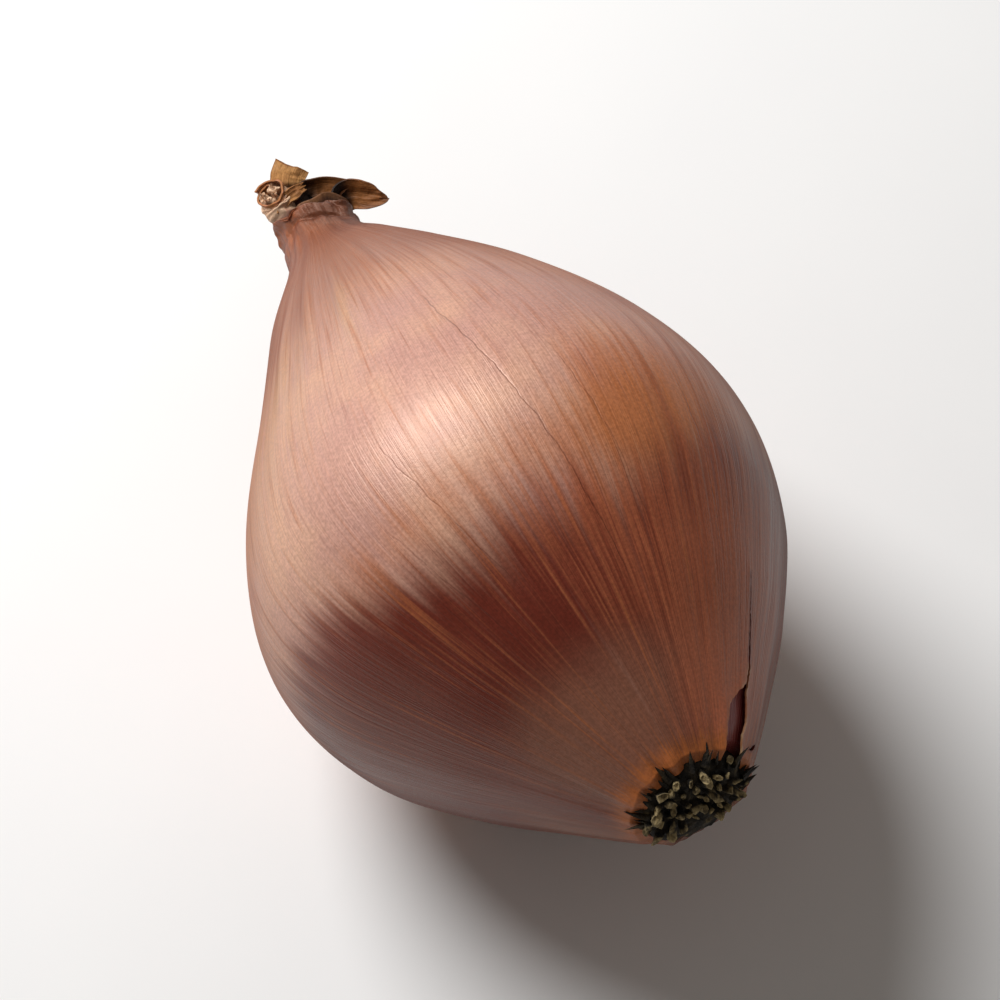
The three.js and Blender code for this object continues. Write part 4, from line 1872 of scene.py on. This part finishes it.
def dry_leaf_ends(form: BulbForm) -> list[DryLeafEnd]:
    """The dry leaf ends of the neck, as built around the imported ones."""
    curl = LeafFinish(
        "curled leaf",
        (0.74, 0.5, 0.33),
        (0.34, 0.13, 0.04),
        (0.075, 0.014, 0.008),
        (0.56, 0.24, 0.15),
        0.45,
    )
    tan = LeafFinish(
        "tan leaf",
        (0.52, 0.26, 0.09),
        (0.28, 0.11, 0.035),
        (0.05, 0.018, 0.007),
        (0.34, 0.15, 0.05),
        0.5,
    )
    brown = LeafFinish(
        "brown leaf",
        (0.25, 0.092, 0.024),
        (0.15, 0.05, 0.014),
        (0.016, 0.007, 0.004),
        (0.12, 0.042, 0.012),
        0.6,
    )
    roll = Blade(
        ((-1, 63.4, 0.5), (-1.2, 66.4, 0.5), (-1.35, 68.6, 0.6), (-1.35, 69.9, 1.4), (-1.33, 70.2, 2.9)),
        ((1, 0, 0.2), (1, 0.3, 0.2)),
        (1, 1.8, 3.1, 4.2, 4.1),
        (200, 430),
        0.22,
        0.17,
        (64, 120),
        0.18,
        0.9,
        inside=0.85,
        seed=2,
    )
    petal = partial(
        Blade,
        thickness=0.24,
        steps=(26, 24),
        crumple=0.14,
        cell=0.45,
        tip=0.62,
        deep=(0.3, 0.75),
        rim=(1.1, 1.6),
        ragged=0.12,
    )
    petals = (
        petal(
            ((-1.1, 69.2, 0.8), (-1.0, 70, 2.0), (-0.72, 70.5, 3.1)),
            ((0.9, -0.3, 0.2), (0.8, -0.5, 0.1)),
            (0.5, 0.6, 0.55),
            (60, 130),
            seed=11,
        ),
        petal(
            ((-1.3, 69.2, 0.8), (-1.8, 69.8, 2.0), (-2.1, 70.2, 3.1)),
            ((0.6, 0.8, 0.0), (0.5, 0.8, 0.1)),
            (0.4, 0.5, 0.42),
            (60, 120),
            seed=12,
        ),
        petal(
            ((-1.3, 68.9, 0.8), (-1.6, 69.3, 2.1), (-1.85, 69.5, 3.15)),
            ((0.9, -0.4, 0.0), (0.8, -0.4, 0.1)),
            (0.4, 0.45, 0.36),
            (60, 110),
            seed=13,
        ),
        petal(
            ((-0.8, 68.9, 0.8), (-0.9, 69.3, 2.0), (-1.25, 69.6, 3.0)),
            ((0.6, 0.7, 0.0), (0.4, 0.8, 0.1)),
            (0.3, 0.4, 0.3),
            (60, 110),
            seed=14,
        ),
        petal(
            ((-0.2, 68.6, 0.2), (0.0, 69.3, 1.2), (0.25, 69.9, 2.2)),
            ((0.8, 0.3, 0.0), (0.8, 0.45, 0.1)),
            (0.4, 0.6, 0.5),
            (60, 110),
            seed=15,
        ),
    )
    flap = Blade(
        (
            (0, 63.4, -1.5),
            (0, 66.5, -1.6),
            (-0.2, 69, -0.8),
            (0, 70.7, 0.6),
            (0.6, 71.5, 1.35),
            (1.6, 72.1, 1.8),
        ),
        ((1, 0, 0.1), (0.58, -0.65, -0.5)),
        (0.8, 1, 1.2, 1.35, 1.45, 1.5),
        (60, 24),
        crumple=0.08,
        deep=(0.6, 0.86),
        rim=(0.86, 1.05),
        ragged=0.02,
        seed=4,
    )
    fold = Blade(
        ((-1.5, 68.3, 1.6), (-0.9, 68.9, 1.9), (0.3, 69.35, 1.7), (1.6, 69.75, 1.3)),
        ((-0.3, 0.6, 0.7), (-0.04, 0.79, 0.61)),
        (0.3, 0.5, 0.55, 0.35),
        (70, 50),
        crumple=0.09,
        cell=0.6,
        deep=(-1, -0.5),
        rim=(1.5, 2.0),
        shade=0.75,
        seed=5,
    )
    tongue = Blade(
        (
            (2.1, 63.4, -0.6),
            (2.3, 66.4, -0.8),
            (3, 68.5, -1.1),
            (4.3, 68.5, -1.2),
            (5.6, 67.4, -1.5),
            (7, 66.4, -2.2),
        ),
        ((-0.3, 0.1, 1), (0.54, 0.67, 0.51)),
        (0.8, 1, 1.25, 1.35, 1.15, 0.95),
        (60, 46),
        crumple=0.07,
        folds=2.2,
        fold_depth=0.04,
        steps=(80, 50),
        tip=0.74,
        deep=(0.46, 0.74),
        rim=(0.8, 1.1),
        seed=6,
    )
    wing = Blade(
        ((0.6, 68, -1.2), (1.2, 70, 0.1), (2.4, 69.75, -0.05), (4.5, 68.5, -1.05)),
        ((-0.3, 0.4, 1), (0.54, 0.67, 0.51)),
        (0.6, 1.05, 1.05, 1.0),
        (50, 40),
        crumple=0.12,
        deep=(0.15, 1.0),
        rim=(0.8, 1.1),
        seed=7,
    )
    return [
        DryLeafEnd(form, "curled_leaf_end", "neck_roll", Slot.CURL, curl, (roll, *petals)),
        DryLeafEnd(form, "tan_leaf_end", "neck_flap_tan", Slot.TAN, tan, (flap, fold)),
        DryLeafEnd(form, "brown_leaf_tongue", "neck_flap_long", Slot.BROWN, brown, (tongue, wing)),
    ]


@dataclass
class NeckThroat:
    """The shrivelled leaf bases that fill the neck's mouth."""

    form: BulbForm
    finish: LeafFinish
    columns: int = 96
    rows: int = 26
    wall: float = 0.14

    def build(self, effects: Effects) -> bpy.types.Object:
        """Builds a crumpled cone with its point down the neck and its brim near the mouth.

        Args:
            effects: The shared node groups.

        Returns:
            The finished piece.
        """
        turn = np.tile(np.arange(self.columns) * 360 / self.columns, (self.rows, 1))
        t = np.tile(np.linspace(0, 1, self.rows)[:, None], (1, self.columns))
        x = turn / 360
        wave = 0.5 * soft_noise(x * 6, t * 2, 71, 6) + 0.35 * soft_noise(x * 13, t * 3, 72, 13)
        radius = 0.25 + 2.75 * t**0.7 * (1 + 0.22 * wave)
        station = 64.4 + 2.4 * t + 0.9 * wave * t
        outer = self.form.ring(radius, station, turn)
        normals = grid_normals(outer, True)
        inner = outer - normals * self.wall * outward(outer, normals)
        count = self.rows * self.columns
        ring = np.arange(self.columns)
        faces = np.concatenate(
            [
                grid_faces(self.rows, self.columns, 0, True, False),
                grid_faces(self.rows, self.columns, count, True, True),
                bridge(ring, count + ring, True)[:, ::-1],
                bridge(count - self.columns + ring, 2 * count - self.columns + ring, True),
            ]
        )
        points = np.concatenate([outer.reshape(-1, 3), inner.reshape(-1, 3)])
        made = make_object("neck_throat", self.form.to_part(points), faces)
        around = np.stack([x * 12, x * 0, station], -1).reshape(-1, 3)
        add_attribute(made.data, "fibre", np.tile(around, (2, 1)))
        add_attribute(made.data, "rim", np.tile(fade(t, 0.7, 1).ravel(), 2))
        # Painted shade: darker towards the cone's point down the neck.
        add_attribute(made.data, "deep", np.tile(fade(t, 1.0, 0.55).ravel(), 2))
        made.data.materials.append(self.finish.build(effects))
        return attach(made, Slot.BROWN)


# ---- Floor, light and camera ----


@dataclass
class Studio:
    """A plain pale floor, soft studio light and the camera."""

    form: BulbForm
    azimuth_deg: float = 63.783
    elevation_deg: float = 63.17
    distance: float = 300
    lens: float = 139.9
    aim_station: float = 30
    aim_rise: float = 1.87
    floor_half: float = 600
    key_from: tuple[float, float, float] = (-0.61, -0.22, 0.69)
    key_distance: float = 420
    key_size: float = 250
    key_power: float = 2.2
    sky: Colour = (1.0, 0.93, 0.86)
    sky_strength: float = 0.17

    def floor(self) -> bpy.types.Object:
        """The floor, at the height that the bulb rests on."""
        s = self.floor_half * MM
        corners = np.array([[-s, -s, 0], [s, -s, 0], [s, s, 0], [-s, s, 0]])
        made = make_object("floor", corners, [[0, 1, 2, 3]])
        material, n, shader = start_material("pale floor")
        tone = n.noise(n.add("ShaderNodeTexCoord").outputs["Object"], 60, 3)
        n.feed(shader.inputs["Base Color"], n.mix(tone, (0.86, 0.86, 0.86), (0.89, 0.89, 0.885)))
        shader.inputs["Roughness"].default_value = 0.7
        made.data.materials.append(material)
        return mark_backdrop(made)

    def light(self) -> None:
        """The key light and the soft light of the room."""
        area = bpy.data.lights.new("key", "AREA")
        area.shape, area.size, area.energy = "DISK", self.key_size * MM, self.key_power
        key = bpy.data.objects.new("key", area)
        way = Vector(self.key_from).normalized()
        key.location = way * self.key_distance * MM
        key.rotation_euler = way.to_track_quat("Z", "Y").to_euler()
        bpy.context.scene.collection.objects.link(key)
        world = bpy.data.worlds.new("room")
        world.use_nodes = True
        background = world.node_tree.nodes["Background"]
        background.inputs["Color"].default_value = (*self.sky, 1)
        background.inputs["Strength"].default_value = self.sky_strength
        bpy.context.scene.world = world

    def camera(self) -> None:
        """The camera, which looks down at the bulb from over its side."""
        az, el = math.radians(self.azimuth_deg), math.radians(self.elevation_deg)
        right = Vector((math.cos(az), math.sin(az), 0))
        back = Vector((math.sin(az) * math.cos(el), -math.cos(az) * math.cos(el), math.sin(el)))
        up = back.cross(right)
        aim = Vector(self.form.to_part(np.array([0, self.aim_station, 0]))) + up * self.aim_rise * MM
        data = bpy.data.cameras.new("camera")
        data.lens, data.sensor_width = self.lens, 36
        data.clip_start = 0.01
        camera = bpy.data.objects.new("camera", data)
        turn = Matrix((right, up, back)).transposed().to_4x4()
        camera.matrix_world = Matrix.Translation(aim + back * self.distance * MM) @ turn
        bpy.context.scene.collection.objects.link(camera)
        bpy.context.scene.camera = camera

    def build(self) -> None:
        """Sets the scene up."""
        self.floor()
        self.light()
        self.camera()
        bpy.context.scene.view_settings.view_transform = "Standard"


def main() -> None:
    """Builds the shallot and its setting."""
    logging.basicConfig(level=logging.INFO, format="%(name)s: %(message)s")
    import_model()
    form, effects = BulbForm(), Effects()
    PaperySkin(form, SkinFinish()).build(effects)
    FleshyBulb(form, FleshFinish()).build(effects)
    RootPlate(form, CorkFinish()).build(effects)
    for leaf in dry_leaf_ends(form):
        leaf.build(effects)
    throat = LeafFinish(
        "dark leaf bases",
        (0.12, 0.045, 0.02),
        (0.2, 0.085, 0.035),
        (0.012, 0.006, 0.004),
        (0.05, 0.018, 0.008),
    )
    NeckThroat(form, throat).build(effects)
    Studio(form).build()


if __name__ == "__main__":
    main()
